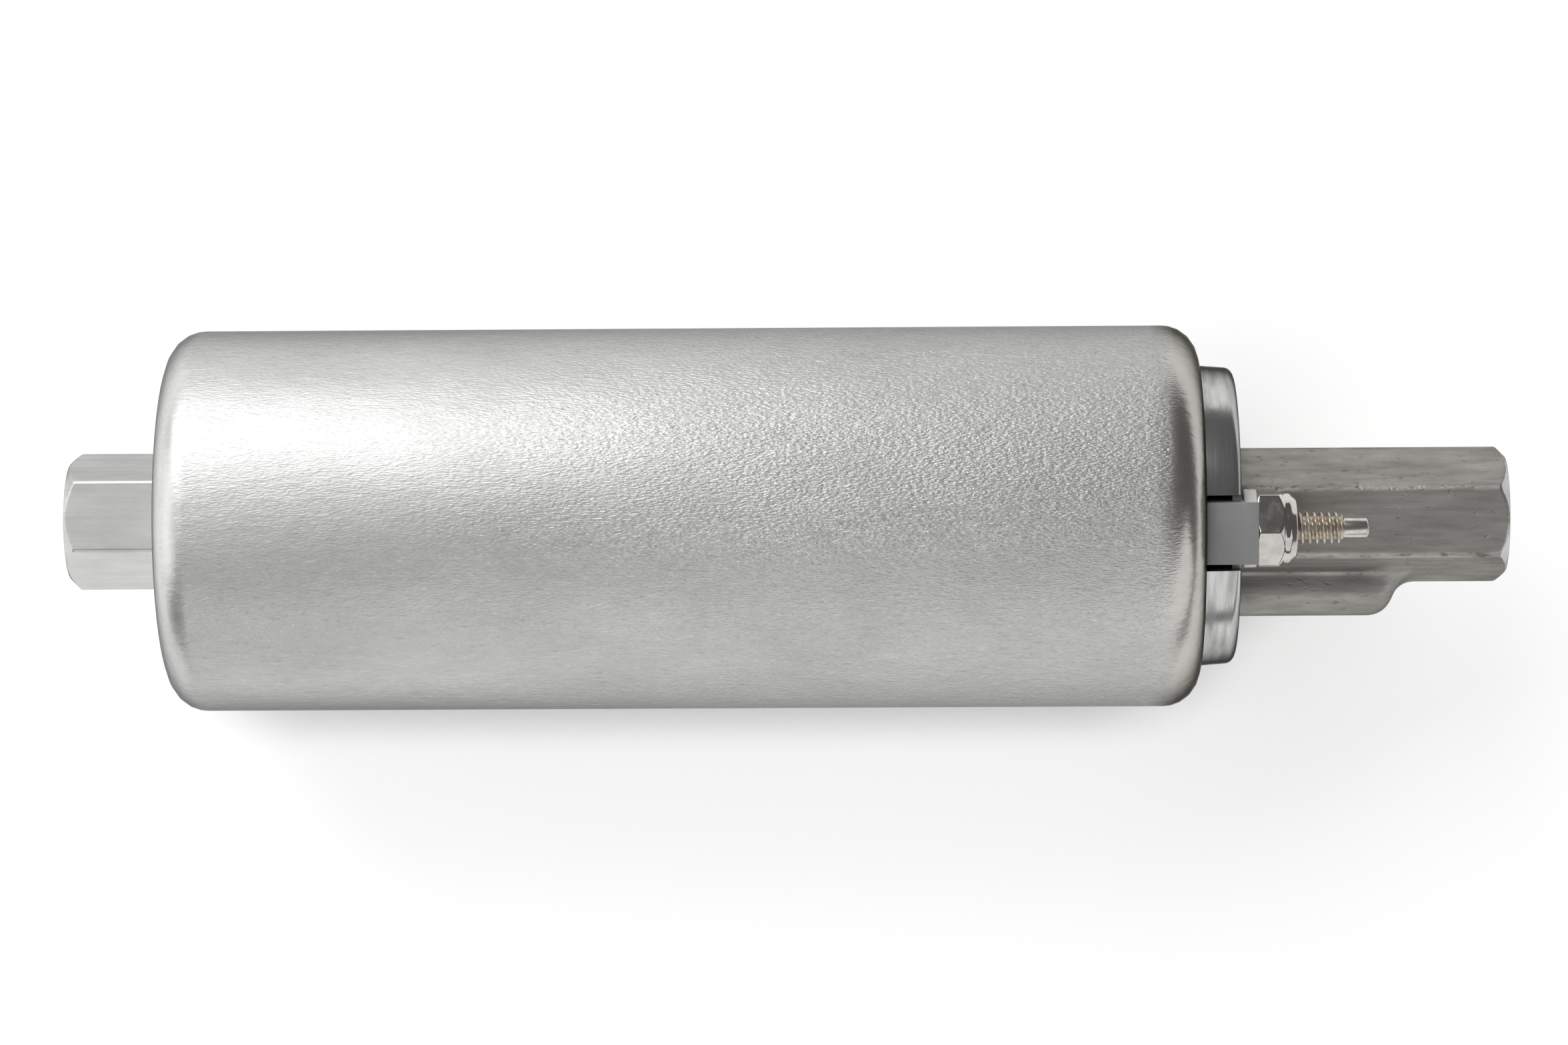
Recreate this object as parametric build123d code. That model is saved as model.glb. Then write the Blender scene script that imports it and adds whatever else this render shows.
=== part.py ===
"""Inline electric fuel pump: a gerotor pump and its brush motor in a rolled aluminium can.

The shaft runs along X, with the inlet at -X and the outlet at +X. The origin lies on the shaft's
axis, half way along the can. Clock angles turn from +Z towards -Y. Lengths are in millimetres.
"""
from build123d import *
import math
import os

# Clearances and the shared cutting overrun
seat_gap = 0.01
slip_gap = 0.05
side_gap = 0.03
cut_overrun = 2.0

# Can
can_radius = 21.5
can_length = 115.9
can_wall = 1.5
can_corner = 4.0
lip_gap = 0.65

# Stations along the axis that the can gives to its end bodies
can_end = can_length / 2
inlet_seat = can_wall - can_end
outlet_seat = can_end - can_wall
body_radius = can_radius - can_wall - slip_gap
body_round = can_corner - can_wall + slip_gap

# O-rings between the can and its two end bodies
groove_depth = 1.6
groove_width = 2.6
groove_setback = 5.2
o_ring_groove_radius = body_radius - groove_depth

# Hexagons and threaded ports
hex_flats = 13.5
hex_corner_round = 0.5
hex_chamfer = 1.25
port_radius = 4.46
port_chamfer = 0.7

# Inlet housing
inlet_body_length = 12.0
inlet_step_radius = 13.85
inlet_step_recess = 0.4
inlet_hex_reach = 11.55
inlet_hex_clock = -5.5
inlet_port_depth = 9.5
passage_radius = 2.2
passage_start_radius = 2.3
front_bush_depth = 6.0

# Gerotor pair
inner_tooth_count = 6
outer_lobe_count = inner_tooth_count + 1
eccentricity = 1.3
lobe_circle = 12.5
lobe_radius = 3.8
root_relief = 0.25
outer_rotor_radius = 14.0
rotor_width = 6.0
outline_points_per_tooth = 16

# Kidney windows beside the rotors
window_inner_radius = 7.8
window_outer_radius = 11.3
window_angle = 110.0
window_depth = 2.4
shadow_depth = 1.0
inlet_clock = 270.0
outlet_clock = 90.0

# Port plate and the screws that clamp the stack
plate_thickness = 5.0
plate_hole_radius = 6.4
screw_radius = 1.25
screw_head_radius = 2.25
screw_head_height = 2.4
screw_socket_flats = 2.0
screw_socket_depth = 1.2
screw_reach = 5.5
screw_wall = 1.3
screw_count = 3
screw_first_clock = 60.0

# Relief valve in the inlet housing
relief_bore_radius = 2.5
relief_circle = 9.6
relief_seat_length = 1.6
relief_seat_hole = 1.4
relief_ball_radius = 2.2
relief_bore_depth = 9.5
relief_vent_radius = 1.1
relief_wire = 0.4
relief_turns = 4

# Shaft and its bushes
shaft_radius = 2.5
bush_wall = 1.5
bush_length = 5.8
bush_radius = shaft_radius + slip_gap + bush_wall
shaft_end_gap = 0.5

# Drive coupling
finger_count = 3
finger_inner_radius = 3.5
finger_outer_radius = 5.8
finger_angle = 50.0
finger_inset = 1.0
coupling_radius = 9.4
coupling_length = 5.2
thrust_washer_thickness = 0.8

# Flux ring, magnets and clips
flux_wall = 2.35
magnet_thickness = 3.1
magnet_angle = 140.0
magnet_overlap = 3.0
clip_sheet = 0.5
clip_depth = 2.0

# Armature
air_gap = 0.6
slot_count = 8
tooth_width = 2.6
slot_mouth = 2.0
slot_lip = 1.1
slot_floor_radius = 6.4
insulator_thickness = 1.0
coil_side = 1.3
coil_overhang = 3.2
coil_floor_gap = 0.9
coil_lip_gap = 0.5
coil_end_gap = 1.0

# Commutator
commutator_hub_length = 4.5
segment_thickness = 2.5
segment_slit = 0.6
commutator_inner_radius = 6.2
commutator_outer_radius = 13.2
hub_neck_radius = 4.4

# Outlet housing; its hexagon, terminals and boss share one clock angle
casting_clock = 7.0
outlet_body_length = 25.4
outlet_end_wall = 4.4
skirt_wall = 3.15
flange_radius = 16.95
flange_taper = 0.3
flange_reach = 3.95
flange_edge_round = 1.0
outlet_hex_reach = 34.55
outlet_port_depth = 11.0
hub_radius = 6.5
hub_length = 10.0
cross_hole_radius = 0.9

# Boss along the outlet hexagon
boss_radius = 3.3
boss_top = 11.45
boss_end_gap = 13.3
boss_end_round = 2.4
boss_end_run = 1.15

# Check valve
valve_bore_radius = 4.2
valve_throat_radius = 2.4
valve_throat_length = 4.0
valve_seat_length = 2.0
poppet_radius = 3.4
poppet_head = 1.8
poppet_nose = 1.0
poppet_stem_radius = 1.3
poppet_stem_length = 9.2
valve_spring_length = 7.7
valve_spring_radius = 2.9
valve_wire = 0.5
valve_turns = 5
retainer_setback = 3.3
retainer_length = 2.4
retainer_rim = 0.7
retainer_hub_radius = 2.2
retainer_spoke = 1.2
retainer_spoke_count = 3

# Brush gear
brush_circle = 10.0
brush_depth = 5.0
brush_width = 6.0
brush_length = 9.0
brush_tube_wall = 0.85
brush_tube_gap = 2.2
brush_spring_radius = 2.2
brush_wire = 0.5
brush_turns = 6
carrier_plate = 2.0
lead_radius = 0.5
lead_setback = 2.4
lead_standoff = 2.8
lead_bend = 1.4
lead_slot = 1.6
brush_spring_length = 9.0

# Terminals
terminal_circle = 11.9
slot_width = 8.4
slot_inner_radius = 7.5
slot_depth = 4.7
block_width = 6.9
block_face_setback = 0.2
block_proud = 0.3
block_lip = 0.45
block_clearance = 0.2
block_sleeve_radius = 3.2
terminal_seal_length = 1.15
seal_crush_gap = 0.05
stud_hole_gap = 0.1
stud_radius = 1.75
stud_engaged_radius = 1.5
stud_head_radius = 3.2
stud_head_thickness = 1.6
washer_radius = 4.33
washer_thickness = 1.5
nut_flats = 7.94
nut_height = 4.4
nut_hex_height = 2.3
nut_shoulder_radius = 3.9
nut_crown_radius = 3.3
nut_crown_height = 0.8
thread_reach = 5.25
dog_radius = 1.1
dog_length = 2.8
dog_chamfer = 0.3


def station(x):
    """Plane square to the shaft at x: its own x axis is clock 0 (+Z), its y axis is clock 90 (-Y)."""
    return Plane(origin=(x, 0, 0), x_dir=(0, 0, 1), z_dir=(1, 0, 0))


def spot(radius, clock):
    """Place on a station plane at a radius and a clock angle, turned to face outward."""
    return Rot(0, 0, clock) * Pos(radius, 0)


def prism(sketch, start, end):
    """Solid of a sketch drawn on the station plane, from start to end along X."""
    return extrude(station(start) * sketch, amount=end - start)


def rod(radius, start, end, place=Pos(0, 0)):
    """Round bar along X."""
    return prism(place * Circle(radius), start, end)


def ring(outer, inner, start, end, place=Pos(0, 0)):
    """Round tube along X."""
    return prism(place * (Circle(outer) - Circle(inner)), start, end)


def turned(points):
    """Solid turned about X from a closed outline of (x, radius) points."""
    return revolve(make_face(Polyline(*points, close=True)), Axis.X)


def sector(outer, inner, angle, clock):
    """Flat ring sector centred on a clock angle."""
    half = math.radians(angle / 2)
    reach = outer / math.cos(half / 2)
    corners = [(0, 0)]
    for step in (-2, -1, 1, 2):
        bearing = half * step / 2
        corners.append((reach * math.cos(bearing), reach * math.sin(bearing)))
    wedge = make_face(Polyline(*corners, close=True))
    return Rot(0, 0, clock) * ((Circle(outer) - Circle(inner)) & wedge)


def rounded_rod(radius, start, end, round_radius, ends):
    """Round bar whose rim is rounded at the ends named by their x."""
    bar = rod(radius, start, end)
    rims = [edge for edge in bar.edges().filter_by(GeomType.CIRCLE)
            if any(abs(edge.center().X - x) < seat_gap for x in ends)]
    return fillet(rims, round_radius)


def hexagon(flats, corner_round, clock):
    """Hexagon with a flat facing its clock angle and lightly rounded corners."""
    outline = RegularPolygon(flats / 2, 6, major_radius=False)
    if corner_round > 0:
        outline = fillet(outline.vertices(), corner_round)
    return Rot(0, 0, clock + 30) * outline


def hex_envelope(flats, chamfer, start, end):
    """Turned bar as wide as a hexagon's corners, with the end at `end` chamfered at 45 degrees."""
    corner = flats / math.sqrt(3)
    back = math.copysign(chamfer, end - start)
    return turned([(start, 0), (start, corner), (end - back, corner), (end, corner - chamfer), (end, 0)])


def port_cut(radius, chamfer, mouth, depth):
    """Bore from a mouth inward with a chamfered mouth; a positive depth runs towards +X."""
    way = math.copysign(1, depth)
    out = mouth - way * cut_overrun
    return turned([
        (out, 0),
        (out, radius + chamfer + cut_overrun),
        (mouth, radius + chamfer),
        (mouth + way * chamfer, radius),
        (mouth + depth, radius),
        (mouth + depth, 0),
    ])


def slanted_hole(radius, start_x, start_radius, end_x, end_radius, clock):
    """Drilled passage between two points of one axial plane, given as x and radius."""
    angle = math.radians(clock)
    first = Vector(start_x, -start_radius * math.sin(angle), start_radius * math.cos(angle))
    last = Vector(end_x, -end_radius * math.sin(angle), end_radius * math.cos(angle))
    return extrude(Plane(origin=first, z_dir=last - first) * Circle(radius), amount=(last - first).length)


def coil_spring(outer_radius, wire, turns, start, end, place=Pos(0, 0)):
    """Compression spring along X whose wire touches the planes at start and end."""
    free = end - start - wire
    path = Helix(pitch=free / turns, height=free, radius=outer_radius - wire / 2)
    section = Plane(origin=path @ 0, z_dir=path % 0) * Circle(wire / 2)
    return station(start + wire / 2) * place * sweep(section, path, is_frenet=True)


# Can: one tube, rolled inward over both end bodies

def make_can():
    outside = rounded_rod(can_radius, -can_end, can_end, can_corner, (-can_end, can_end))
    inside = rounded_rod(can_radius - can_wall, inlet_seat, outlet_seat, can_corner - can_wall,
                         (inlet_seat, outlet_seat))
    can = outside - inside
    can -= rod(inlet_step_radius + lip_gap, -can_end - cut_overrun, inlet_seat + cut_overrun)
    can -= rod(flange_radius + lip_gap, outlet_seat - cut_overrun, can_end + cut_overrun)
    return can


# Pump end: inlet housing, rotors, port plate, relief valve

rotor_face = inlet_seat + inlet_body_length
rotor_start = rotor_face + side_gap
rotor_end = rotor_start + rotor_width
plate_start = rotor_end + side_gap
plate_end = plate_start + plate_thickness
pocket_radius = outer_rotor_radius + slip_gap
screw_circle = pocket_radius + screw_wall + screw_radius
screw_head_start = plate_end - screw_head_height
screw_tip = rotor_face - screw_reach
inlet_end = -can_end - inlet_hex_reach
inlet_port_end = inlet_end + inlet_port_depth
inlet_groove = inlet_seat + groove_setback
outlet_groove = outlet_seat - groove_setback
relief_mouth = rotor_face - shadow_depth
relief_seat_end = relief_mouth - relief_seat_length
relief_bottom = relief_mouth - relief_bore_depth


def groove_cut(centre):
    return ring(body_radius + cut_overrun, o_ring_groove_radius, centre - groove_width / 2,
                centre + groove_width / 2)


def make_inlet_housing():
    seat = inlet_seat + seat_gap
    body = rounded_rod(body_radius, seat, rotor_face, body_round, (seat,))
    step_face = inlet_step_recess - can_end
    body += rod(inlet_step_radius, step_face, inlet_seat + body_round)
    outline = hexagon(hex_flats, hex_corner_round, inlet_hex_clock)
    fitting = prism(outline, inlet_end, inlet_seat + body_round)
    body += fitting & hex_envelope(hex_flats, hex_chamfer, inlet_seat + body_round, inlet_end)
    body -= groove_cut(inlet_groove)
    body -= port_cut(port_radius, port_chamfer, inlet_end, inlet_port_depth)
    body -= rod(bush_radius + seat_gap, rotor_face - front_bush_depth, rotor_face)
    window = sector(window_outer_radius, window_inner_radius, window_angle, inlet_clock)
    body -= prism(window, rotor_face - window_depth, rotor_face)
    shadow = sector(window_outer_radius, window_inner_radius, window_angle, outlet_clock)
    body -= prism(shadow, rotor_face - shadow_depth, rotor_face)
    window_radius = (window_inner_radius + window_outer_radius) / 2
    body -= slanted_hole(passage_radius, inlet_port_end - port_chamfer, passage_start_radius,
                         rotor_face - shadow_depth, window_radius, inlet_clock)
    body -= rod(relief_bore_radius, relief_bottom, relief_mouth, spot(relief_circle, outlet_clock))
    body -= slanted_hole(relief_vent_radius, inlet_port_end - port_chamfer, passage_start_radius,
                         relief_bottom + relief_vent_radius, relief_circle - relief_vent_radius,
                         outlet_clock)
    for clock in screw_clocks():
        body -= rod(screw_radius + seat_gap, screw_tip - screw_radius, rotor_face,
                    spot(screw_circle, clock))
    return body


def screw_clocks():
    return [screw_first_clock + 360 / screw_count * index for index in range(screw_count)]


def make_o_ring(centre):
    """Ring that touches the groove's floor and the can's bore."""
    section = (can_radius - can_wall - o_ring_groove_radius) / 2 - seat_gap
    middle = o_ring_groove_radius + seat_gap + section
    return Pos(centre, 0, 0) * Rot(0, 90, 0) * Torus(middle, section)


def make_eccentric_ring():
    body = rod(body_radius, rotor_face + seat_gap, plate_start - seat_gap)
    body -= rod(pocket_radius, rotor_face - cut_overrun, plate_start + cut_overrun, spot(eccentricity, 0))
    for clock in screw_clocks():
        body -= rod(screw_radius + slip_gap, rotor_face - cut_overrun, plate_start + cut_overrun,
                    spot(screw_circle, clock))
    return body


def inner_outline_point(angle):
    """Point of the inner rotor's outline: the path of a lobe's centre, set in by the lobe's radius."""
    lobes = outer_lobe_count
    centre_x = lobe_circle * math.cos(angle) + eccentricity * math.cos(lobes * angle)
    centre_y = lobe_circle * math.sin(angle) + eccentricity * math.sin(lobes * angle)
    normal_x = lobe_circle * math.cos(angle) + lobes * eccentricity * math.cos(lobes * angle)
    normal_y = lobe_circle * math.sin(angle) + lobes * eccentricity * math.sin(lobes * angle)
    inset = (lobe_radius + slip_gap) / math.hypot(normal_x, normal_y)
    return centre_x - inset * normal_x, centre_y - inset * normal_y


def make_inner_rotor():
    count = inner_tooth_count * outline_points_per_tooth
    points = [inner_outline_point(2 * math.pi * index / count) for index in range(count)]
    outline = make_face(Spline(*points, periodic=True))
    outline -= Circle(shaft_radius + slip_gap)
    for index in range(finger_count):
        outline -= sector(finger_outer_radius + slip_gap, finger_inner_radius - slip_gap,
                          finger_slot_angle(), 360 / finger_count * index)
    return prism(outline, rotor_start, rotor_end)


def finger_slot_angle():
    return finger_angle + 2 * math.degrees(slip_gap / finger_inner_radius)


def make_outer_rotor():
    root = lobe_circle - lobe_radius + 2 * eccentricity + root_relief
    outline = Circle(outer_rotor_radius) - Circle(root)
    lobes = Sketch()
    for index in range(outer_lobe_count):
        lobes += spot(lobe_circle, 360 / outer_lobe_count * index) * Circle(lobe_radius)
    outline += lobes & Circle(outer_rotor_radius)
    return prism(spot(eccentricity, 0) * outline, rotor_start, rotor_end)


def make_port_plate():
    body = rod(body_radius, plate_start, plate_end)
    body -= rod(plate_hole_radius, plate_start - cut_overrun, plate_end + cut_overrun)
    window = sector(window_outer_radius, window_inner_radius, window_angle, outlet_clock)
    body -= prism(window, plate_start, plate_end)
    shadow = sector(window_outer_radius, window_inner_radius, window_angle, inlet_clock)
    body -= prism(shadow, plate_start, plate_start + shadow_depth)
    for clock in screw_clocks():
        place = spot(screw_circle, clock)
        body -= rod(screw_radius + slip_gap, plate_start - cut_overrun, plate_end, place)
        body -= rod(screw_head_radius + slip_gap, screw_head_start, plate_end + cut_overrun, place)
    return body


def make_stack_screws():
    screws = []
    for clock in screw_clocks():
        place = spot(screw_circle, clock)
        screw = rod(screw_radius, screw_tip, screw_head_start + seat_gap, place)
        screw += rod(screw_head_radius, screw_head_start + seat_gap, plate_end - seat_gap, place)
        socket = place * RegularPolygon(screw_socket_flats / 2, 6, major_radius=False)
        screw -= prism(socket, plate_end - screw_socket_depth, plate_end)
        screws.append(screw)
    return screws


relief_place = spot(relief_circle, outlet_clock)
relief_ball_contact = math.sqrt(relief_ball_radius ** 2 - relief_seat_hole ** 2)
relief_ball_centre = relief_seat_end - relief_ball_contact - side_gap
relief_spring_start = relief_bottom + seat_gap
relief_spring_end = relief_ball_centre - relief_ball_contact - side_gap


def make_relief_seat():
    return ring(relief_bore_radius - seat_gap, relief_seat_hole, relief_seat_end, relief_mouth,
                relief_place)


def make_relief_ball():
    return station(relief_ball_centre) * relief_place * Sphere(relief_ball_radius)


def make_relief_spring():
    """Coil whose top turn carries the ball on a circle as wide as the seat's hole."""
    mean = relief_seat_hole + relief_wire / 2
    return coil_spring(mean + relief_wire / 2, relief_wire, relief_turns, relief_spring_start,
                       relief_spring_end, relief_place)


# Motor: coupling, shaft, armature, commutator, flux ring, magnets

skirt_start = outlet_seat - outlet_body_length
cavity_end = outlet_seat - outlet_end_wall
cavity_radius = body_radius - skirt_wall
hub_start = cavity_end - hub_length
carrier_start = cavity_end - carrier_plate
brush_end = carrier_start - brush_spring_length
brush_start = brush_end - brush_length
segment_end = brush_start - side_gap
segment_start = segment_end - segment_thickness
commutator_start = segment_start - commutator_hub_length
coupling_start = plate_end + seat_gap + thrust_washer_thickness + slip_gap
coupling_end = coupling_start + coupling_length
finger_end = rotor_start + finger_inset
front_bush_start = rotor_face - front_bush_depth + seat_gap
rear_bush_end = hub_start + bush_length
shaft_start = front_bush_start + shaft_end_gap
shaft_end = rear_bush_end + shaft_end_gap
rear_washer_end = hub_start - slip_gap
rear_washer_start = rear_washer_end - thrust_washer_thickness
core_start = coupling_end + coil_end_gap + coil_overhang + insulator_thickness
core_end = commutator_start - coil_end_gap - coil_overhang - insulator_thickness
flux_outer = body_radius
flux_inner = flux_outer - flux_wall
magnet_outer = flux_inner - seat_gap
magnet_inner = magnet_outer - magnet_thickness
core_radius = magnet_inner - air_gap
magnet_start = core_start - magnet_overlap
magnet_end = core_end + magnet_overlap


def make_shaft():
    return rod(shaft_radius, shaft_start, shaft_end)


def make_bush(start, end):
    return ring(bush_radius, shaft_radius + slip_gap, start, end)


def make_front_thrust_washer():
    start = plate_end + seat_gap
    return ring(coupling_radius, plate_hole_radius + slip_gap, start, start + thrust_washer_thickness)


def make_rear_thrust_washer():
    return ring(hub_radius - slip_gap, shaft_radius + slip_gap, rear_washer_start, rear_washer_end)


def make_drive_coupling():
    """Moulded hub pressed on the shaft, whose fingers reach through the port plate into the rotor."""
    coupling = rod(coupling_radius, coupling_start, coupling_end)
    coupling -= rod(shaft_radius + seat_gap, coupling_start - cut_overrun, coupling_end + cut_overrun)
    for index in range(finger_count):
        clock = 360 / finger_count * index
        finger = sector(finger_outer_radius, finger_inner_radius, finger_angle, clock)
        coupling += prism(finger, finger_end, coupling_start + slip_gap)
    return coupling


def tooth_clocks():
    return [360 / slot_count * index for index in range(slot_count)]


def lamination_outline():
    """Stamping of the armature: hub, parallel teeth and a rim that the slot mouths cut open."""
    outline = Circle(slot_floor_radius)
    for clock in tooth_clocks():
        outline += spot(core_radius / 2, clock) * Rectangle(core_radius, tooth_width)
    outline = (outline & Circle(core_radius)) + (Circle(core_radius) - Circle(core_radius - slot_lip))
    mouth = Rectangle(2 * slot_lip + cut_overrun, slot_mouth)
    for clock in tooth_clocks():
        outline -= spot(core_radius, clock + 180 / slot_count) * mouth
    return outline - Circle(shaft_radius + seat_gap)


def make_armature_core():
    return prism(lamination_outline(), core_start, core_end)


def make_insulator(start):
    return prism(lamination_outline(), start + seat_gap, start + insulator_thickness - seat_gap)


def make_windings():
    """One coil round each tooth, laid in the slots and over the end insulators."""
    floor = slot_floor_radius + coil_floor_gap
    top = core_radius - slot_lip - coil_lip_gap
    inner_start = core_start - insulator_thickness - seat_gap
    inner_end = core_end + insulator_thickness + seat_gap
    coils = []
    for clock in tooth_clocks():
        place = spot((floor + top) / 2, clock)
        inner_width = tooth_width + 2 * slip_gap
        coil = prism(place * Rectangle(top - floor, inner_width + 2 * coil_side),
                     inner_start - coil_overhang, inner_end + coil_overhang)
        coil -= prism(place * Rectangle(top - floor + cut_overrun, inner_width), inner_start, inner_end)
        coils.append(coil)
    return coils


def make_commutator_hub():
    """Phenolic moulding under the segments, with a neck that runs back to the rear thrust washer."""
    hub = rod(commutator_outer_radius, commutator_start, segment_start - seat_gap)
    hub += rod(hub_neck_radius, commutator_start, rear_washer_start - slip_gap)
    return hub - rod(shaft_radius + seat_gap, commutator_start - cut_overrun, rear_washer_end)


def make_segments():
    slit_angle = math.degrees(segment_slit / commutator_inner_radius)
    segment = sector(commutator_outer_radius, commutator_inner_radius, 360 / slot_count - slit_angle, 0)
    return [prism(Rot(0, 0, clock) * segment, segment_start, segment_end) for clock in tooth_clocks()]


def make_flux_ring():
    return ring(flux_outer, flux_inner, plate_end + seat_gap, skirt_start - seat_gap)


def make_magnets():
    return [prism(sector(magnet_outer, magnet_inner, magnet_angle, clock), magnet_start, magnet_end)
            for clock in (0, 180)]


def make_magnet_clips():
    """Sprung channels between the magnets, one leg against each magnet's side."""
    angle = 180 - magnet_angle - 2 * math.degrees(seat_gap / magnet_inner)
    leg_angle = 2 * math.degrees(clip_sheet / magnet_outer)
    clips = []
    for clock in (90, 270):
        channel = sector(magnet_outer, magnet_outer - clip_depth, angle, clock)
        channel -= sector(magnet_outer - clip_sheet, magnet_inner - cut_overrun, angle - leg_angle, clock)
        clips.append(prism(channel, magnet_start, magnet_end))
    return clips


# Outlet end: cast housing with its flange, hexagon and boss

flange_face = can_end + flange_reach
outlet_end = can_end + outlet_hex_reach
outlet_port_end = outlet_end - outlet_port_depth
slot_floor = flange_face - slot_depth
retainer_end = outlet_port_end - retainer_setback
retainer_start = retainer_end - retainer_length
valve_spring_start = retainer_start - valve_spring_length
poppet_start = valve_spring_start - poppet_head
valve_seat_end = poppet_start - side_gap
valve_bottom = valve_seat_end - valve_seat_length
throat_start = valve_bottom - valve_throat_length
boss_corner = outlet_end - boss_end_gap
boss_clock = casting_clock + 90
terminal_clocks = (casting_clock, casting_clock + 180)
brush_clocks = (casting_clock + 90, casting_clock + 270)


def side_outline(points, bend):
    """Face of (x, height) points in the boss's side view, with the corner numbered `bend` rounded."""
    side = make_face(Polyline(*points, close=True))
    x, height = points[bend]
    corner = min(side.vertices(), key=lambda vertex: math.hypot(vertex.X - x, vertex.Y - height))
    return fillet(corner, boss_end_round)


def make_boss():
    """Rib with a round top; its end falls in a double curve to the two hexagon faces beside it."""
    root = flange_face - flange_edge_round
    foot = hex_flats / math.sqrt(3) - hex_corner_round / 4
    above = boss_top + cut_overrun
    wall_end = boss_corner + boss_end_run
    tail = wall_end + boss_end_round
    lean = boss_end_run / (boss_top - foot)
    middle = ((boss_corner + wall_end) / 2, (boss_top + foot) / 2)
    shoulder = side_outline([(root, 0), (root, boss_top), (boss_corner, boss_top), middle,
                             (tail, middle[1]), (tail, 0)], 2)
    boss = extrude(shoulder, amount=boss_radius, both=True)
    run_out = side_outline([(boss_corner - lean * cut_overrun, above), (wall_end, foot),
                            (tail + cut_overrun, foot), (tail + cut_overrun, above)], 1)
    slope = math.radians(60)
    for way in (1, -1):
        face_way = (0, -math.cos(slope), way * math.sin(slope))
        boss -= extrude(run_out, amount=2 * boss_radius, dir=face_way)
    boss = Rot(boss_clock - 270, 0, 0) * boss
    crown = spot(boss_top - boss_radius, boss_clock) * Circle(boss_radius)
    stem = spot((boss_top - boss_radius) / 2, boss_clock) * Rectangle(boss_top - boss_radius, boss_radius)
    return prism(crown + stem, root, tail) & boss


def make_flange():
    flange = turned([
        (outlet_seat - body_round, 0),
        (outlet_seat - body_round, flange_radius),
        (can_end, flange_radius),
        (flange_face, flange_radius - flange_taper),
        (flange_face, 0),
    ])
    rim = [edge for edge in flange.edges().filter_by(GeomType.CIRCLE)
           if abs(edge.center().X - flange_face) < seat_gap]
    return fillet(rim, flange_edge_round)


def make_outlet_housing():
    seat = outlet_seat - seat_gap
    body = rounded_rod(body_radius, skirt_start, seat, body_round, (seat,))
    body += make_flange()
    fitting = prism(hexagon(hex_flats, hex_corner_round, casting_clock), cavity_end, outlet_end)
    body += fitting & hex_envelope(hex_flats, hex_chamfer, cavity_end, outlet_end)
    body += make_boss()
    body -= groove_cut(outlet_groove)
    body -= ring(cavity_radius, hub_radius, hub_start, cavity_end)
    body -= rod(cavity_radius, skirt_start - cut_overrun, hub_start)
    body -= rod(bush_radius + seat_gap, hub_start - cut_overrun, throat_start)
    body -= rod(valve_throat_radius, throat_start - cut_overrun, valve_bottom + cut_overrun)
    body -= rod(valve_bore_radius, valve_bottom, outlet_port_end)
    body -= port_cut(port_radius, port_chamfer, outlet_end, -outlet_port_depth)
    hole_x = (rear_bush_end + carrier_start) / 2
    for clock in (casting_clock, casting_clock + 90):
        cross = Cylinder(cross_hole_radius, 2 * hub_radius + cut_overrun)
        body -= Rot(clock, 0, 0) * Pos(hole_x, 0, 0) * cross
    for clock in terminal_clocks:
        slot_length = flange_radius + cut_overrun - slot_inner_radius
        slot = spot(slot_inner_radius + slot_length / 2, clock) * Rectangle(slot_length, slot_width)
        body -= prism(slot, slot_floor, flange_face + cut_overrun)
        body -= rod(block_sleeve_radius + slip_gap, cavity_end - cut_overrun, slot_floor + cut_overrun,
                    spot(terminal_circle, clock))
    return body


# Check valve in the outlet

def make_valve_seat():
    return ring(valve_bore_radius - seat_gap, valve_throat_radius, valve_bottom + seat_gap, valve_seat_end)


def make_poppet():
    nose_radius = valve_throat_radius - slip_gap
    nose_start = poppet_start - poppet_nose
    stem_end = valve_spring_start + poppet_stem_length
    return turned([
        (nose_start, 0),
        (nose_start, nose_radius - poppet_nose / 2),
        (poppet_start, nose_radius),
        (poppet_start, poppet_radius),
        (valve_spring_start, poppet_radius),
        (valve_spring_start, poppet_stem_radius),
        (stem_end, poppet_stem_radius),
        (stem_end, 0),
    ])


def make_valve_spring():
    return coil_spring(valve_spring_radius, valve_wire, valve_turns, valve_spring_start + side_gap,
                       retainer_start - side_gap)


def make_retainer():
    """Ring pressed into the bore, with spokes to the poppet's guide."""
    rim = valve_bore_radius - seat_gap
    outline = Circle(rim) - Circle(rim - retainer_rim)
    for index in range(retainer_spoke_count):
        spoke = Rectangle(rim - retainer_rim / 2, retainer_spoke)
        outline += spot(rim / 2 - retainer_rim / 4, 360 / retainer_spoke_count * index) * spoke
    outline += Circle(retainer_hub_radius)
    return prism(outline - Circle(poppet_stem_radius + slip_gap), retainer_start, retainer_end)


# Brush gear

def make_brush_carrier():
    plate = ring(cavity_radius - slip_gap, hub_radius + slip_gap, carrier_start, cavity_end - seat_gap)
    for clock in terminal_clocks:
        plate -= rod(stud_radius + stud_hole_gap, carrier_start - cut_overrun, cavity_end + cut_overrun,
                     spot(terminal_circle, clock))
    tube_start = segment_end + brush_tube_gap
    bore_depth = brush_depth + 2 * slip_gap
    bore_width = brush_width + 2 * slip_gap
    for clock in brush_clocks:
        place = spot(brush_circle, clock)
        walls = 2 * brush_tube_wall
        outside = place * Rectangle(bore_depth + walls, bore_width + walls)
        tube = prism(outside, tube_start, carrier_start + seat_gap)
        tube -= prism(place * Rectangle(bore_depth, bore_width), tube_start - cut_overrun, carrier_start)
        opening = place * Pos(0, -bore_width / 2) * Rectangle(lead_slot, walls + cut_overrun)
        tube -= prism(opening, brush_end - lead_setback - lead_slot, carrier_start)
        plate += tube
    return plate - rod(hub_radius + slip_gap, tube_start - cut_overrun, cavity_end)


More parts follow.
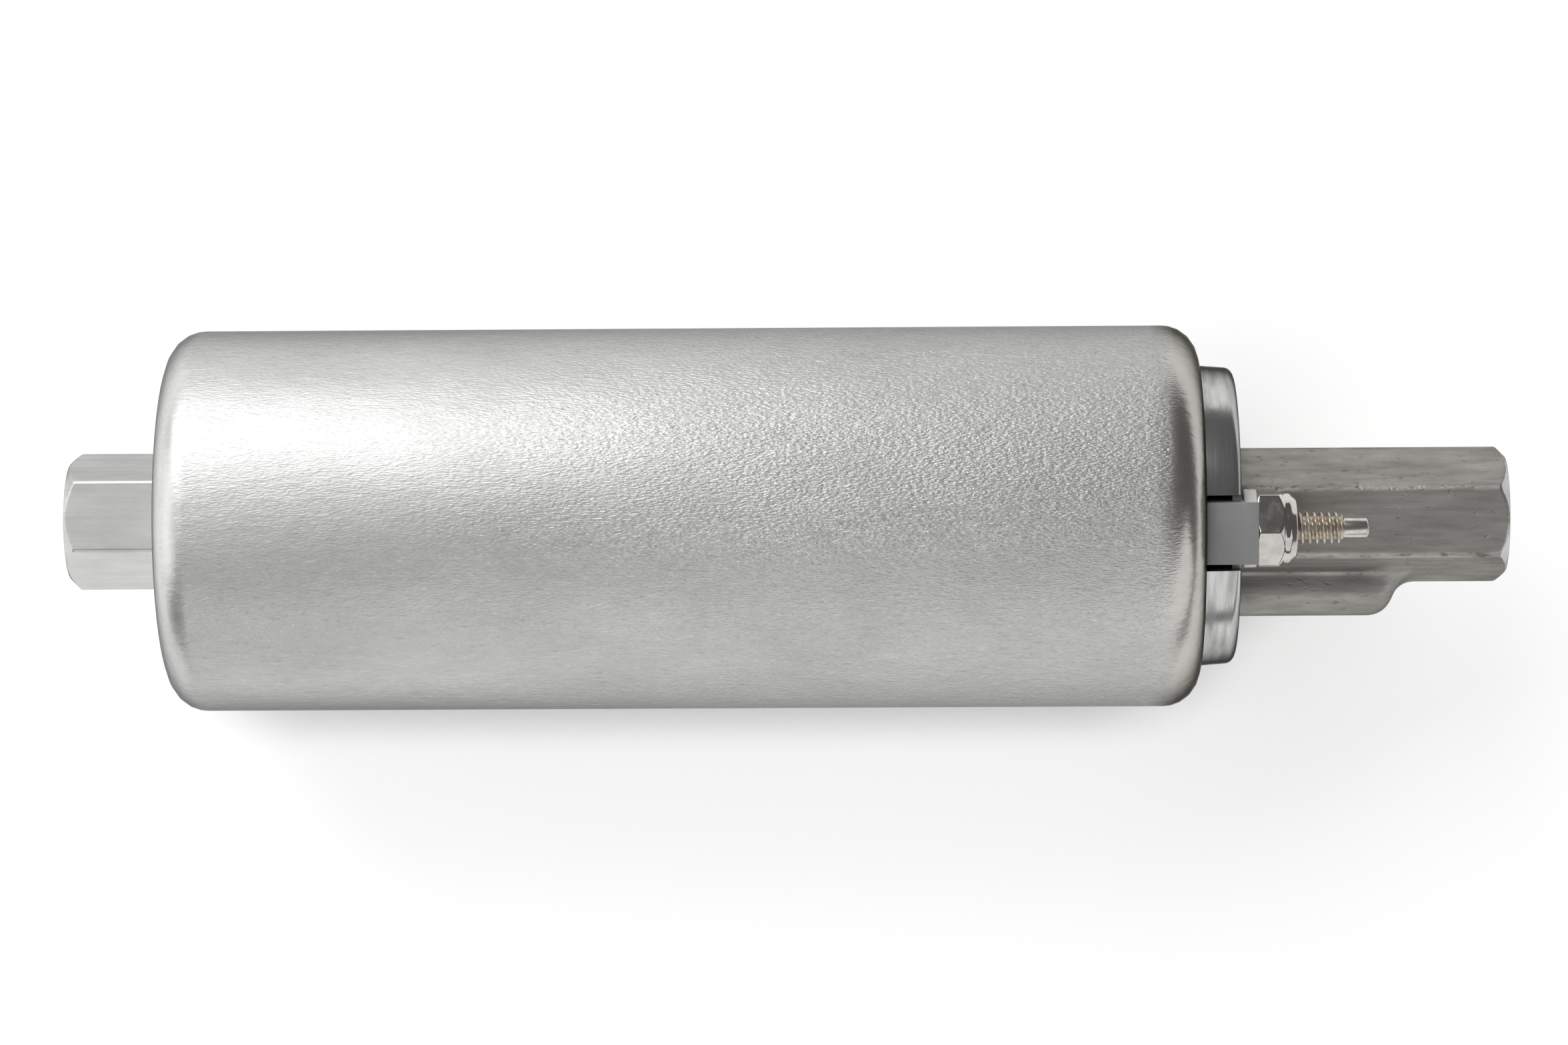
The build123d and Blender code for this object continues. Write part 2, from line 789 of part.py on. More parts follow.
def make_brush(clock):
    return prism(spot(brush_circle, clock) * Rectangle(brush_depth, brush_width), brush_start, brush_end)


def make_brush_spring(clock):
    return coil_spring(brush_spring_radius, brush_wire, brush_turns, brush_end + side_gap,
                       carrier_start - side_gap, spot(brush_circle, clock))


def make_brush_lead(clock):
    """Flexible lead from a brush's side, out of its tube's slot and round to the stud's head."""
    side = brush_width / 2 + side_gap
    out = brush_width / 2 + lead_standoff
    low = brush_end - lead_setback
    high = carrier_start - stud_head_thickness / 2
    bearing = math.atan2(brush_circle, out - terminal_circle)
    reach = stud_head_radius + side_gap
    tip = (terminal_circle + reach * math.cos(bearing), reach * math.sin(bearing))
    path = FilletPolyline(
        (side, brush_circle, low),
        (out, brush_circle, low),
        (out, brush_circle, high),
        (tip[0], tip[1], high),
        radius=lead_bend,
    )
    lead = sweep(Plane(origin=path @ 0, z_dir=path % 0) * Circle(lead_radius), path=path)
    return station(0) * Rot(0, 0, clock - 90) * lead


# Terminals: insulating blocks, seals, studs, washers, nuts

block_end = flange_face + block_proud
washer_start = block_end + seat_gap
washer_end = washer_start + washer_thickness
nut_start = washer_end + seat_gap
nut_end = nut_start + nut_height
thread_end = nut_end + thread_reach
sleeve_end = cavity_end + terminal_seal_length
block_face_radius = flange_radius - block_face_setback


def make_terminal_blocks():
    """Moulded block that fills the flange's slot, with a sleeve inward and a lip over the washer."""
    blocks = []
    inner = slot_inner_radius + block_clearance
    for clock in terminal_clocks:
        length = block_face_radius - inner
        section = spot(inner + length / 2, clock) * Rectangle(length, block_width)
        block = prism(section, slot_floor + seat_gap, block_end)
        lip = spot(block_face_radius - block_lip / 2, clock) * Rectangle(block_lip, block_width)
        block += prism(lip, block_end - block_lip, washer_end)
        place = spot(terminal_circle, clock)
        block += rod(block_sleeve_radius, sleeve_end, slot_floor + block_lip, place)
        block -= rod(stud_radius + stud_hole_gap, sleeve_end - cut_overrun, block_end + cut_overrun,
                     place)
        blocks.append(block)
    return blocks


def make_terminal_seals():
    return [ring(block_sleeve_radius, stud_engaged_radius + seal_crush_gap, cavity_end + seal_crush_gap,
                 sleeve_end - seal_crush_gap, spot(terminal_circle, clock)) for clock in terminal_clocks]


def make_washers():
    return [ring(washer_radius, stud_radius + stud_hole_gap, washer_start, washer_end,
                 spot(terminal_circle, clock)) for clock in terminal_clocks]


def make_nuts():
    """Hexagon nuts with a turned crown; the engaged thread stands at its core radius."""
    corner = nut_flats / math.sqrt(3)
    crown = turned([
        (nut_start, 0),
        (nut_start, corner),
        (nut_start + nut_hex_height, corner),
        (nut_start + nut_hex_height + corner - nut_shoulder_radius, nut_shoulder_radius),
        (nut_end - nut_crown_height, nut_shoulder_radius),
        (nut_end, nut_crown_radius),
        (nut_end, 0),
    ])
    nuts = []
    for clock in terminal_clocks:
        angle = math.radians(clock)
        shift = Pos(0, -terminal_circle * math.sin(angle), terminal_circle * math.cos(angle))
        place = spot(terminal_circle, clock)
        nut = prism(place * hexagon(nut_flats, 0, 90), nut_start, nut_end) & (shift * crown)
        nut -= rod(stud_engaged_radius + seat_gap, nut_start - cut_overrun, nut_end + cut_overrun, place)
        nuts.append(nut)
    return nuts


def make_stud(clock):
    """Terminal stud: head on the carrier, core under the nut, free thread and dog point."""
    head_start = carrier_start - stud_head_thickness
    dog_end = thread_end + dog_length
    stud = turned([
        (head_start, 0),
        (head_start, stud_head_radius),
        (carrier_start - seat_gap, stud_head_radius),
        (carrier_start - seat_gap, stud_engaged_radius),
        (nut_end, stud_engaged_radius),
        (nut_end, stud_radius),
        (thread_end, stud_radius),
        (thread_end, dog_radius),
        (dog_end - dog_chamfer, dog_radius),
        (dog_end, dog_radius - dog_chamfer),
        (dog_end, 0),
    ])
    angle = math.radians(clock)
    return Pos(0, -terminal_circle * math.sin(angle), terminal_circle * math.cos(angle)) * stud


def write_parts():
    parts = {
        "can": make_can(),
        "inlet_housing": make_inlet_housing(),
        "outlet_housing": make_outlet_housing(),
        "inlet_o_ring": make_o_ring(inlet_groove),
        "outlet_o_ring": make_o_ring(outlet_groove),
        "eccentric_ring": make_eccentric_ring(),
        "inner_rotor": make_inner_rotor(),
        "outer_rotor": make_outer_rotor(),
        "port_plate": make_port_plate(),
        "stack_screws": make_stack_screws(),
        "relief_seat": make_relief_seat(),
        "relief_ball": make_relief_ball(),
        "relief_spring": make_relief_spring(),
        "front_bush": make_bush(front_bush_start, rotor_face - seat_gap),
        "rear_bush": make_bush(hub_start, rear_bush_end),
        "front_thrust_washer": make_front_thrust_washer(),
        "rear_thrust_washer": make_rear_thrust_washer(),
        "drive_coupling": make_drive_coupling(),
        "armature_shaft": make_shaft(),
        "armature_core": make_armature_core(),
        "armature_windings": make_windings(),
        "front_end_insulator": make_insulator(core_start - insulator_thickness),
        "rear_end_insulator": make_insulator(core_end),
        "commutator_hub": make_commutator_hub(),
        "commutator_segments": make_segments(),
        "flux_ring": make_flux_ring(),
        "magnets": make_magnets(),
        "magnet_clips": make_magnet_clips(),
        "brush_carrier": make_brush_carrier(),
        "positive_brush": make_brush(brush_clocks[0]),
        "negative_brush": make_brush(brush_clocks[1]),
        "positive_brush_spring": make_brush_spring(brush_clocks[0]),
        "negative_brush_spring": make_brush_spring(brush_clocks[1]),
        "positive_brush_lead": make_brush_lead(brush_clocks[0]),
        "negative_brush_lead": make_brush_lead(brush_clocks[1]),
        "terminal_blocks": make_terminal_blocks(),
        "terminal_seals": make_terminal_seals(),
        "nylon_washers": make_washers(),
        "terminal_nuts": make_nuts(),
        "positive_terminal_stud": make_stud(terminal_clocks[0]),
        "negative_terminal_stud": make_stud(terminal_clocks[1]),
        "check_valve_seat": make_valve_seat(),
        "check_valve_poppet": make_poppet(),
        "check_valve_spring": make_valve_spring(),
        "check_valve_retainer": make_retainer(),
    }
    os.makedirs("parts", exist_ok=True)
    for name, shape in parts.items():
        if isinstance(shape, list):
            shape = Compound(children=shape)
        export_step(shape, f"parts/{name}.step")


write_parts()
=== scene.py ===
"""Inline electric fuel pump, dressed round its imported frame. Metres, with the pump's axis along X."""
import math

import bpy
import numpy as np
from mathutils import Matrix, Vector


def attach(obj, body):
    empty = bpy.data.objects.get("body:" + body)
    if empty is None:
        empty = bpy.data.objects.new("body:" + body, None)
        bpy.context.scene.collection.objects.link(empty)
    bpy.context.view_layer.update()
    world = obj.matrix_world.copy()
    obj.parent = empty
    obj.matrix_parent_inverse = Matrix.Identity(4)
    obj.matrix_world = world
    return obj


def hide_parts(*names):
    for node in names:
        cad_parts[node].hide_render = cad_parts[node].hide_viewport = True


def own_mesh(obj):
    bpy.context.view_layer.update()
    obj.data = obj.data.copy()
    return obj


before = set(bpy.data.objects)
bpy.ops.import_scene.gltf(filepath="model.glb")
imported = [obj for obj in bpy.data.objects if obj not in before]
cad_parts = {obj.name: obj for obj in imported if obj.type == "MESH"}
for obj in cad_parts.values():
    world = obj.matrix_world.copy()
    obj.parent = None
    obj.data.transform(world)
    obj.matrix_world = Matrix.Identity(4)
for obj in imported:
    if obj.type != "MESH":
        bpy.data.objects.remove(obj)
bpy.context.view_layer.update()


# Inlet housing
# The pump's front body, turned from aluminium bar: a shouldered plug that the can is rolled over, with a
# milled hexagon outside and an M10 x 1 port tapped into it. Its inner face carries the kidney windows.
MILLIMETRE = 0.001
FULL_TURN = np.linspace(0, 360, 180, endpoint=False)
SEAT_END = -56.44
BODY_RADIUS = 19.95
BODY_ROUND = 2.55
INLET_STEP_END = -57.55
INLET_STEP_RADIUS = 13.85
ROTOR_FACE = -44.45
INLET_END = -69.5
HEX_FLATS = 13.5
HEX_CORNER = 0.5
HEX_CHAMFER = 1.25
INLET_HEX_CLOCK = -5.5
PORT_CORE = 4.46
PORT_MAJOR = 5.0
PORT_PITCH = 1.0
PORT_CHAMFER = 0.7
INLET_PORT_DEPTH = 9.5
GROOVE_START = 49.95
GROOVE_END = 52.55
GROOVE_FLOOR = 18.35
BUSH_BORE = 4.06
WINDOW_INNER = 7.8
WINDOW_OUTER = 11.3
WINDOW_ANGLE = 110
RELIEF_CIRCLE = 9.6
SCREW_CIRCLE = 16.6
SCREW_CORE = 1.26
SCREW_DEPTH = -51.2
CUT_PAST = 1.0


def shown(name, content):
    """New object from its mesh, camera or light, put into the scene."""
    thing = bpy.data.objects.new(name, content)
    bpy.context.scene.collection.objects.link(thing)
    return thing


def solid(name, points, faces):
    """New mesh object from its corners, in metres, and its faces."""
    mesh = bpy.data.meshes.new(name)
    mesh.from_pydata(points, [], faces)
    return shown(name, mesh)


def swept_skin(name, xs, radii, clocks=FULL_TURN, looped=False):
    """Closed solid from rows of radii round the pump's axis. A looped skin is a ring with no ends."""
    radii = np.asarray(radii, float)
    if radii.ndim == 1:
        radii = np.repeat(radii[:, None], len(clocks), axis=1)
    xs = np.asarray(xs, float)
    if xs.ndim == 1:
        xs = np.repeat(xs[:, None], len(clocks), axis=1)
    turn = np.radians(clocks)
    points = np.stack([xs, -radii * np.sin(turn), radii * np.cos(turn)], axis=-1) * MILLIMETRE
    rows, across = radii.shape
    row, step = np.meshgrid(np.arange(rows if looped else rows - 1), np.arange(across), indexing="ij")
    beyond, beside = (row + 1) % rows, (step + 1) % across
    faces = np.stack([row * across + step, row * across + beside, beyond * across + beside,
                      beyond * across + step], axis=-1).reshape(-1, 4).tolist()
    points = points.reshape(-1, 3).tolist()
    if not looped:
        first, last = len(points), len(points) + 1
        points += [[float(xs[0].mean()) * MILLIMETRE, 0, 0], [float(xs[-1].mean()) * MILLIMETRE, 0, 0]]
        base = (rows - 1) * across
        for here in range(across):
            there = (here + 1) % across
            faces += [[first, there, here], [last, base + here, base + there]]
    return solid(name, points, faces)


def eased(corners, steps=6):
    """Turning profile from (x, radius, rounding) corners, each corner replaced by its arc."""
    profile = []
    for index, (x, radius, rounding) in enumerate(corners):
        here = Vector((x, radius))
        if rounding == 0:
            profile.append(here)
            continue
        back = (Vector(corners[index - 1][:2]) - here).normalized()
        ahead = (Vector(corners[(index + 1) % len(corners)][:2]) - here).normalized()
        half = back.angle(ahead) / 2
        run = rounding / math.tan(half)
        centre = here + (back + ahead).normalized() * rounding / math.sin(half)
        for step in range(steps + 1):
            reach = (here + back * run).lerp(here + ahead * run, step / steps) - centre
            profile.append(centre + reach.normalized() * rounding)
    return profile


def turned(name, corners, looped=False, clocks=FULL_TURN):
    """Turned piece from its rounded profile."""
    profile = eased(corners)
    return swept_skin(name, [point[0] for point in profile], [point[1] for point in profile],
                      clocks, looped)


def hexagon_radius(clocks, flats, corner, turn):
    """How far a hexagon's side lies from its axis at each clock angle, with rounded corners."""
    away = np.radians(np.abs((clocks - turn + 30) % 60 - 30))
    side = flats / 2 / np.cos(away)
    centre = (flats / 2 - corner) / math.cos(math.pi / 6)
    bend = np.pi / 6 - away
    arc = centre * np.cos(bend) + np.sqrt(np.maximum(corner ** 2 - (centre * np.sin(bend)) ** 2, 0))
    bend_starts = math.atan((flats / 2 - corner) * math.tan(math.pi / 6) / (flats / 2))
    return np.where(away > bend_starts, arc, side)


def merged(first, second, blend):
    """The smaller of two surfaces, with the edge between them broken."""
    gap = np.maximum(blend - np.abs(first - second), 0) / blend
    return np.minimum(first, second) - gap ** 2 * blend / 4


def milled_hexagon(name, start, end, turn):
    """Hexagon bar whose far end has its corners turned off at 45 degrees."""
    length = abs(end - start)
    fine_from = length - 2.2
    broken_edge = 0.08
    clocks = np.unique(np.concatenate([np.arange(0, 360, 2.0)] + [
        np.arange(-5, 5.01, 0.5) + turn + 30 + 60 * corner for corner in range(6)]) % 360)
    way = math.copysign(1, end - start)
    run = np.concatenate([np.linspace(0, fine_from, 12)[:-1], np.linspace(fine_from, length, 34)])
    corner = HEX_FLATS / math.sqrt(3)
    cone = corner - HEX_CHAMFER + (length - run)
    radii = merged(hexagon_radius(clocks, HEX_FLATS, HEX_CORNER, turn)[None, :], cone[:, None], 0.12)
    last = radii[-1:] - broken_edge
    radii, run = np.concatenate([radii, last]), np.append(run, run[-1])
    run[-2] -= broken_edge
    xs = start + way * run
    if way < 0:
        xs, radii = xs[::-1], radii[::-1]
    return swept_skin(name, xs, radii, clocks)


def tap(name, mouth, depth):
    """Solid that cuts a port: its thread, the lead-in chamfer and the run-out at the bottom."""
    way = math.copysign(1, depth)
    run = np.arange(-CUT_PAST, abs(depth) + PORT_PITCH / 24, PORT_PITCH / 12)
    clocks = FULL_TURN[::2]
    phase = (mouth + way * run[:, None]) / PORT_PITCH - clocks[None, :] / 360
    height = np.clip((1 - np.abs(2 * (phase % 1) - 1)) * 1.3 - 0.15, 0, 1)
    fade = np.clip((abs(depth) - run - 0.4 * PORT_PITCH) / PORT_PITCH, 0, 1)[:, None]
    thread = PORT_CORE + (PORT_MAJOR - PORT_CORE) * height * fade
    cone = (PORT_CORE + PORT_CHAMFER - run)[:, None]
    radii = np.maximum(thread, cone)
    xs = mouth + way * run
    if way < 0:
        xs, radii = xs[::-1], radii[::-1]
    return swept_skin(name, xs, radii, clocks)


def moved_out(piece, distance, clock):
    """Moves a piece that was made on the pump's axis out to a clock angle."""
    angle = math.radians(clock)
    piece.data.transform(Matrix.Translation((0, -distance * math.sin(angle) * MILLIMETRE,
                                             distance * math.cos(angle) * MILLIMETRE)))
    return piece


def drill(name, radius, start, end, distance=0.0, clock=0.0):
    """Solid that cuts a round hole parallel to the pump's axis."""
    return moved_out(swept_skin(name, [start, end], [radius, radius], FULL_TURN[::3]), distance, clock)


def slanting_drill(name, radius, start, end):
    """Solid that cuts a round hole between two points."""
    tool = swept_skin(name, [0, (Vector(end) - Vector(start)).length], [radius, radius], FULL_TURN[::6])
    turn = Vector((1, 0, 0)).rotation_difference(Vector(end) - Vector(start)).to_matrix().to_4x4()
    tool.data.transform(Matrix.Translation(Vector(start) * MILLIMETRE) @ turn)
    return tool


def kidney(name, clock, depth):
    """Solid that cuts one kidney window into the face that the rotors run on."""
    turn = np.radians(np.linspace(clock - WINDOW_ANGLE / 2, clock + WINDOW_ANGLE / 2, 40))
    rim = [(radius * -math.sin(step), radius * math.cos(step))
           for radius, steps in ((WINDOW_INNER, turn), (WINDOW_OUTER, turn[::-1])) for step in steps]
    count = len(rim)
    points = [(x * MILLIMETRE, y * MILLIMETRE, z * MILLIMETRE)
              for x in (ROTOR_FACE - depth, ROTOR_FACE + CUT_PAST) for y, z in rim]
    faces = [[here, (here + 1) % count, count + (here + 1) % count, count + here]
             for here in range(count)]
    faces += [list(range(count))[::-1], list(range(count, 2 * count))]
    return facing_outward(solid(name, points, faces))


def facing_outward(piece):
    """Turns a closed mesh's faces so that they all look outward."""
    mesh = piece.data
    mesh.calc_loop_triangles()
    volume = sum(Vector(mesh.vertices[tri.vertices[0]].co).dot(
        Vector(mesh.vertices[tri.vertices[1]].co).cross(Vector(mesh.vertices[tri.vertices[2]].co)))
        for tri in mesh.loop_triangles)
    if volume < 0:
        mesh.flip_normals()
    return piece


def machined(piece, operation, *tools):
    """Cuts tools from a piece, or joins them to it, and takes them away."""
    for tool in tools:
        step = piece.modifiers.new("machining", "BOOLEAN")
        step.operation = operation
        step.solver = "MANIFOLD"
        step.object = tool
    graph = bpy.context.evaluated_depsgraph_get()
    shaped = bpy.data.meshes.new_from_object(piece.evaluated_get(graph))
    shaped.materials.clear()
    shaped.polygons.foreach_set("material_index", np.zeros(len(shaped.polygons), dtype=np.int32))
    piece.modifiers.clear()
    piece.data = shaped
    for tool in tools:
        bpy.data.objects.remove(tool)
    return piece


def smooth(piece, sharp_over=32):
    """Smooth shading that stays crisp at real edges."""
    piece.data.shade_smooth()
    piece.data.set_sharp_from_angle(angle=math.radians(sharp_over))


def blank_finish(name):
    """New material, with its nodes, its links and its shader."""
    finish = bpy.data.materials.new(name)
    finish.use_nodes = True
    nodes = finish.node_tree.nodes
    return finish, nodes, finish.node_tree.links, nodes["Principled BSDF"]


def metal(name, colour, roughness, edge=(1, 1, 1, 1)):
    """New bare metal, and the nodes, links and shader that its marks are drawn with."""
    finish, nodes, links, shader = blank_finish(name)
    shader.inputs["Metallic"].default_value = 1.0
    shader.inputs["Base Color"].default_value = (*colour, 1)
    shader.inputs["Roughness"].default_value = roughness
    shader.inputs["Specular Tint"].default_value = edge
    return finish, nodes, links, shader


def marks(nodes, links, scale, stretch=(1, 1, 1), detail=3.0, rough=0.55):
    """Noise in the object's own metres; stretch lengthens its grains along an axis."""
    place = nodes.new("ShaderNodeTexCoord").outputs["Object"]
    lie = nodes.new("ShaderNodeMapping")
    lie.inputs["Scale"].default_value = stretch
    grain = nodes.new("ShaderNodeTexNoise")
    grain.inputs["Scale"].default_value = scale
    grain.inputs["Detail"].default_value = detail
    grain.inputs["Roughness"].default_value = rough
    links.new(place, lie.inputs["Vector"])
    links.new(lie.outputs["Vector"], grain.inputs["Vector"])
    return grain.outputs["Fac"]


def spread(nodes, links, value, low, high, to_low=0.0, to_high=1.0):
    """Stretches a value from one range to another, and clamps it there."""
    node = nodes.new("ShaderNodeMapRange")
    node.inputs["From Min"].default_value = low
    node.inputs["From Max"].default_value = high
    node.inputs["To Min"].default_value = to_low
    node.inputs["To Max"].default_value = to_high
    links.new(value, node.inputs["Value"])
    return node.outputs["Result"]


def tinted(nodes, links, value, first, second):
    """Colour between two tints, as a value goes from 0 to 1."""
    ramp = nodes.new("ShaderNodeValToRGB")
    ramp.color_ramp.elements[0].color = (*first, 1)
    ramp.color_ramp.elements[1].color = (*second, 1)
    links.new(value, ramp.inputs["Fac"])
    return ramp.outputs["Color"]


def added(nodes, links, first, second, share):
    """First value plus a share of the second."""
    node = nodes.new("ShaderNodeMath")
    node.operation = "MULTIPLY_ADD"
    node.inputs[1].default_value = share
    links.new(second, node.inputs[0])
    links.new(first, node.inputs[2])
    return node.outputs["Value"]


def combined(nodes, links, operation, first, second):
    """Two values put through one operation."""
    node = nodes.new("ShaderNodeMath")
    node.operation = operation
    links.new(first, node.inputs[0])
    links.new(second, node.inputs[1])
    return node.outputs["Value"]


def relief(nodes, links, shader, value, height):
    """Raises the surface by a value, as a height in metres."""
    bump = nodes.new("ShaderNodeBump")
    bump.inputs["Distance"].default_value = height
    bump.inputs["Strength"].default_value = 1.0
    links.new(value, bump.inputs["Height"])
    links.new(bump.outputs["Normal"], shader.inputs["Normal"])


def brushed_aluminium(name, colour, dark, roughness, lines):
    """Aluminium with fine lines from its machining, which run along X."""
    finish, nodes, links, shader = metal(name, colour, roughness, (0.2, 0.2, 0.2, 1))
    brushing = marks(nodes, links, 1600, lines, 4.0)
    cloud = marks(nodes, links, 260, (0.4, 1, 1), 3.0)
    tone = added(nodes, links, spread(nodes, links, cloud, 0.3, 0.7, 0, 0.6), brushing, 0.5)
    links.new(tinted(nodes, links, tone, dark, colour), shader.inputs["Base Color"])
    links.new(spread(nodes, links, brushing, 0.35, 0.65, roughness - 0.05, roughness + 0.08),
              shader.inputs["Roughness"])
    relief(nodes, links, shader, brushing, 0.00002)
    return finish


machined_aluminium = brushed_aluminium("machined_aluminium", (0.72, 0.717, 0.705), (0.50, 0.497, 0.485),
                                       0.28, (0.04, 1, 1))
inlet = turned("inlet_body", [
    (SEAT_END, 0, 0), (SEAT_END, BODY_RADIUS, BODY_ROUND),
    (-GROOVE_END, BODY_RADIUS, 0.1), (-GROOVE_END, GROOVE_FLOOR, 0.15),
    (-GROOVE_START, GROOVE_FLOOR, 0.15), (-GROOVE_START, BODY_RADIUS, 0.1),
    (ROTOR_FACE, BODY_RADIUS, 0.15), (ROTOR_FACE, 0, 0)])
inlet_step = turned("inlet_step", [
    (INLET_STEP_END, 0, 0), (INLET_STEP_END, INLET_STEP_RADIUS, 0.2),
    (SEAT_END + 1.5, INLET_STEP_RADIUS, 0), (SEAT_END + 1.5, 0, 0)])
inlet_hexagon = milled_hexagon("inlet_hexagon", SEAT_END + 1, INLET_END, INLET_HEX_CLOCK)
machined(inlet, "UNION", inlet_step, inlet_hexagon)
machined(inlet, "DIFFERENCE",
         tap("inlet_tap", INLET_END, INLET_PORT_DEPTH),
         drill("front_bush_bore", BUSH_BORE, ROTOR_FACE - 6.0, ROTOR_FACE + CUT_PAST),
         kidney("inlet_window", 270, 2.4),
         kidney("inlet_shadow", 90, 1.0),
         slanting_drill("inlet_passage", 2.2, (-60.7, 2.3, 0), (-45.45, 9.55, 0)),
         slanting_drill("relief_vent", 1.1, (-60.7, -2.3, 0), (-53.85, -8.5, 0)),
         drill("relief_bore", 2.5, -54.95, ROTOR_FACE - 0.5, RELIEF_CIRCLE, 90),
         *[drill(f"screw_hole_{clock}", SCREW_CORE, SCREW_DEPTH, ROTOR_FACE + CUT_PAST, SCREW_CIRCLE,
                 clock) for clock in (60, 180, 300)])
smooth(inlet)
inlet.data.materials.append(machined_aluminium)
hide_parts("inlet_housing")
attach(inlet, "housing")


# Gerotor pair, port plate and screws
# The pump's working parts, sintered steel with ground faces: a six-tooth rotor in a seven-lobe one, the
# ring that holds the pair off centre, and the port plate. Black screws clamp them to the inlet housing.


def dressed(finish, *names):
    """Gives pieces that come with the frame their finish."""
    for name in names:
        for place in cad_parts[name].material_slots:
            place.material = finish


def sintered(name, colour, pore_colour, roughness):
    """Pressed and sintered metal: ground bright, with dark pores left open in it."""
    finish, nodes, links, shader = metal(name, colour, roughness)
    pores = spread(nodes, links, marks(nodes, links, 2600, detail=2.0), 0.34, 0.42)
    cloud = spread(nodes, links, marks(nodes, links, 300), 0.3, 0.7, 0.0, 0.4)
    links.new(tinted(nodes, links, added(nodes, links, cloud, pores, 0.6), pore_colour, colour),
              shader.inputs["Base Color"])
    links.new(spread(nodes, links, pores, 0, 1, roughness + 0.25, roughness), shader.inputs["Roughness"])
    relief(nodes, links, shader, pores, 0.00002)
    return finish


def plating(name, colour, dark, roughness):
    """Bright plating, with faint clouds and hairline wear."""
    finish, nodes, links, shader = metal(name, colour, roughness)
    wear = marks(nodes, links, 700, detail=4.0)
    links.new(tinted(nodes, links, spread(nodes, links, wear, 0.35, 0.65), dark, colour),
              shader.inputs["Base Color"])
    links.new(spread(nodes, links, wear, 0.3, 0.7, roughness + 0.06, roughness - 0.03),
              shader.inputs["Roughness"])
    relief(nodes, links, shader, marks(nodes, links, 2600, detail=2.0), 0.000006)
    return finish


sintered_steel = sintered("sintered_steel", (0.54, 0.53, 0.52), (0.16, 0.155, 0.15), 0.34)
dressed(sintered_steel, "eccentric_ring", "inner_rotor", "outer_rotor", "port_plate")
black_screw_steel = plating("black_screw_steel", (0.10, 0.10, 0.105), (0.045, 0.045, 0.045), 0.38)
dressed(black_screw_steel, "stack_screws")


# Relief valve
# A steel ball that a wire spring holds on a turned brass seat, in a bore of the inlet housing. It lets
# fuel back to the inlet when the outlet is shut off.


def lathe_lines(nodes, links, scale):
    """Lines that a lathe tool leaves: rings round the pump's axis, on rounds and faces alike."""
    place = nodes.new("ShaderNodeTexCoord").outputs["Object"]
    across = nodes.new("ShaderNodeVectorMath")
    across.operation = "MULTIPLY"
    across.inputs[1].default_value = (0, 1, 1)
    reach = nodes.new("ShaderNodeVectorMath")
    reach.operation = "LENGTH"
    along = nodes.new("ShaderNodeSeparateXYZ")
    unrolled = nodes.new("ShaderNodeCombineXYZ")
    grain = nodes.new("ShaderNodeTexNoise")
    grain.inputs["Scale"].default_value = scale
    grain.inputs["Detail"].default_value = 3.0
    links.new(place, across.inputs[0])
    links.new(place, along.inputs["Vector"])
    links.new(across.outputs["Vector"], reach.inputs[0])
    links.new(along.outputs["X"], unrolled.inputs["X"])
    links.new(reach.outputs["Value"], unrolled.inputs["Y"])
    links.new(unrolled.outputs["Vector"], grain.inputs["Vector"])
    return grain.outputs["Fac"]


def lathe_turned(name, colour, dark, roughness, scale=4000):
    """Turned metal, with its tool lines and a faint stain."""
    finish, nodes, links, shader = metal(name, colour, roughness)
    rings = lathe_lines(nodes, links, scale)
    stain = spread(nodes, links, marks(nodes, links, 400), 0.3, 0.7, 0.0, 0.6)
    links.new(tinted(nodes, links, added(nodes, links, stain, rings, 0.5), dark, colour),
              shader.inputs["Base Color"])
    links.new(spread(nodes, links, rings, 0.3, 0.7, roughness - 0.04, roughness + 0.08),
              shader.inputs["Roughness"])
    relief(nodes, links, shader, rings, 0.00001)
    return finish


def yielding(name, node, finish):
    """Spring or lead copied from the frame with its finish, in place of the frame's own, and fixed to the
    housing.
    """
    piece = shown(name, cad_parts[node].data.copy())
    piece.data.materials.clear()
    piece.data.materials.append(finish)
    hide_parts(node)
    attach(piece, "housing")
    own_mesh(piece)


turned_brass = lathe_turned("turned_brass", (0.76, 0.60, 0.31), (0.56, 0.42, 0.19), 0.24)
bright_steel = plating("bright_steel", (0.78, 0.78, 0.79), (0.68, 0.68, 0.70), 0.08)
spring_steel = plating("spring_steel", (0.56, 0.56, 0.57), (0.36, 0.36, 0.37), 0.27)
dressed(turned_brass, "relief_seat")
dressed(bright_steel, "relief_ball")
yielding("relief_coil", "relief_spring", spring_steel)


# Bushes, thrust washers and coupling
# The shaft turns in two oiled bronze bushes, with a pressed fibre washer beside each. A glass-filled
# moulding on the shaft reaches three fingers into the inner rotor to turn it.


def moulded(name, colour, dark, roughness, grain=900, height=0.00002):
    """Moulded plastic: near-even colour with a fine skin."""
    finish, nodes, links, shader = blank_finish(name)
    shader.inputs["Roughness"].default_value = roughness
    cloud = marks(nodes, links, 220, detail=3.0)
    skin = marks(nodes, links, grain, detail=2.0)
    links.new(tinted(nodes, links, spread(nodes, links, cloud, 0.3, 0.7), dark, colour),
              shader.inputs["Base Color"])
    links.new(spread(nodes, links, skin, 0.3, 0.7, roughness - 0.05, roughness + 0.07),
              shader.inputs["Roughness"])
    relief(nodes, links, shader, skin, height)
    return finish


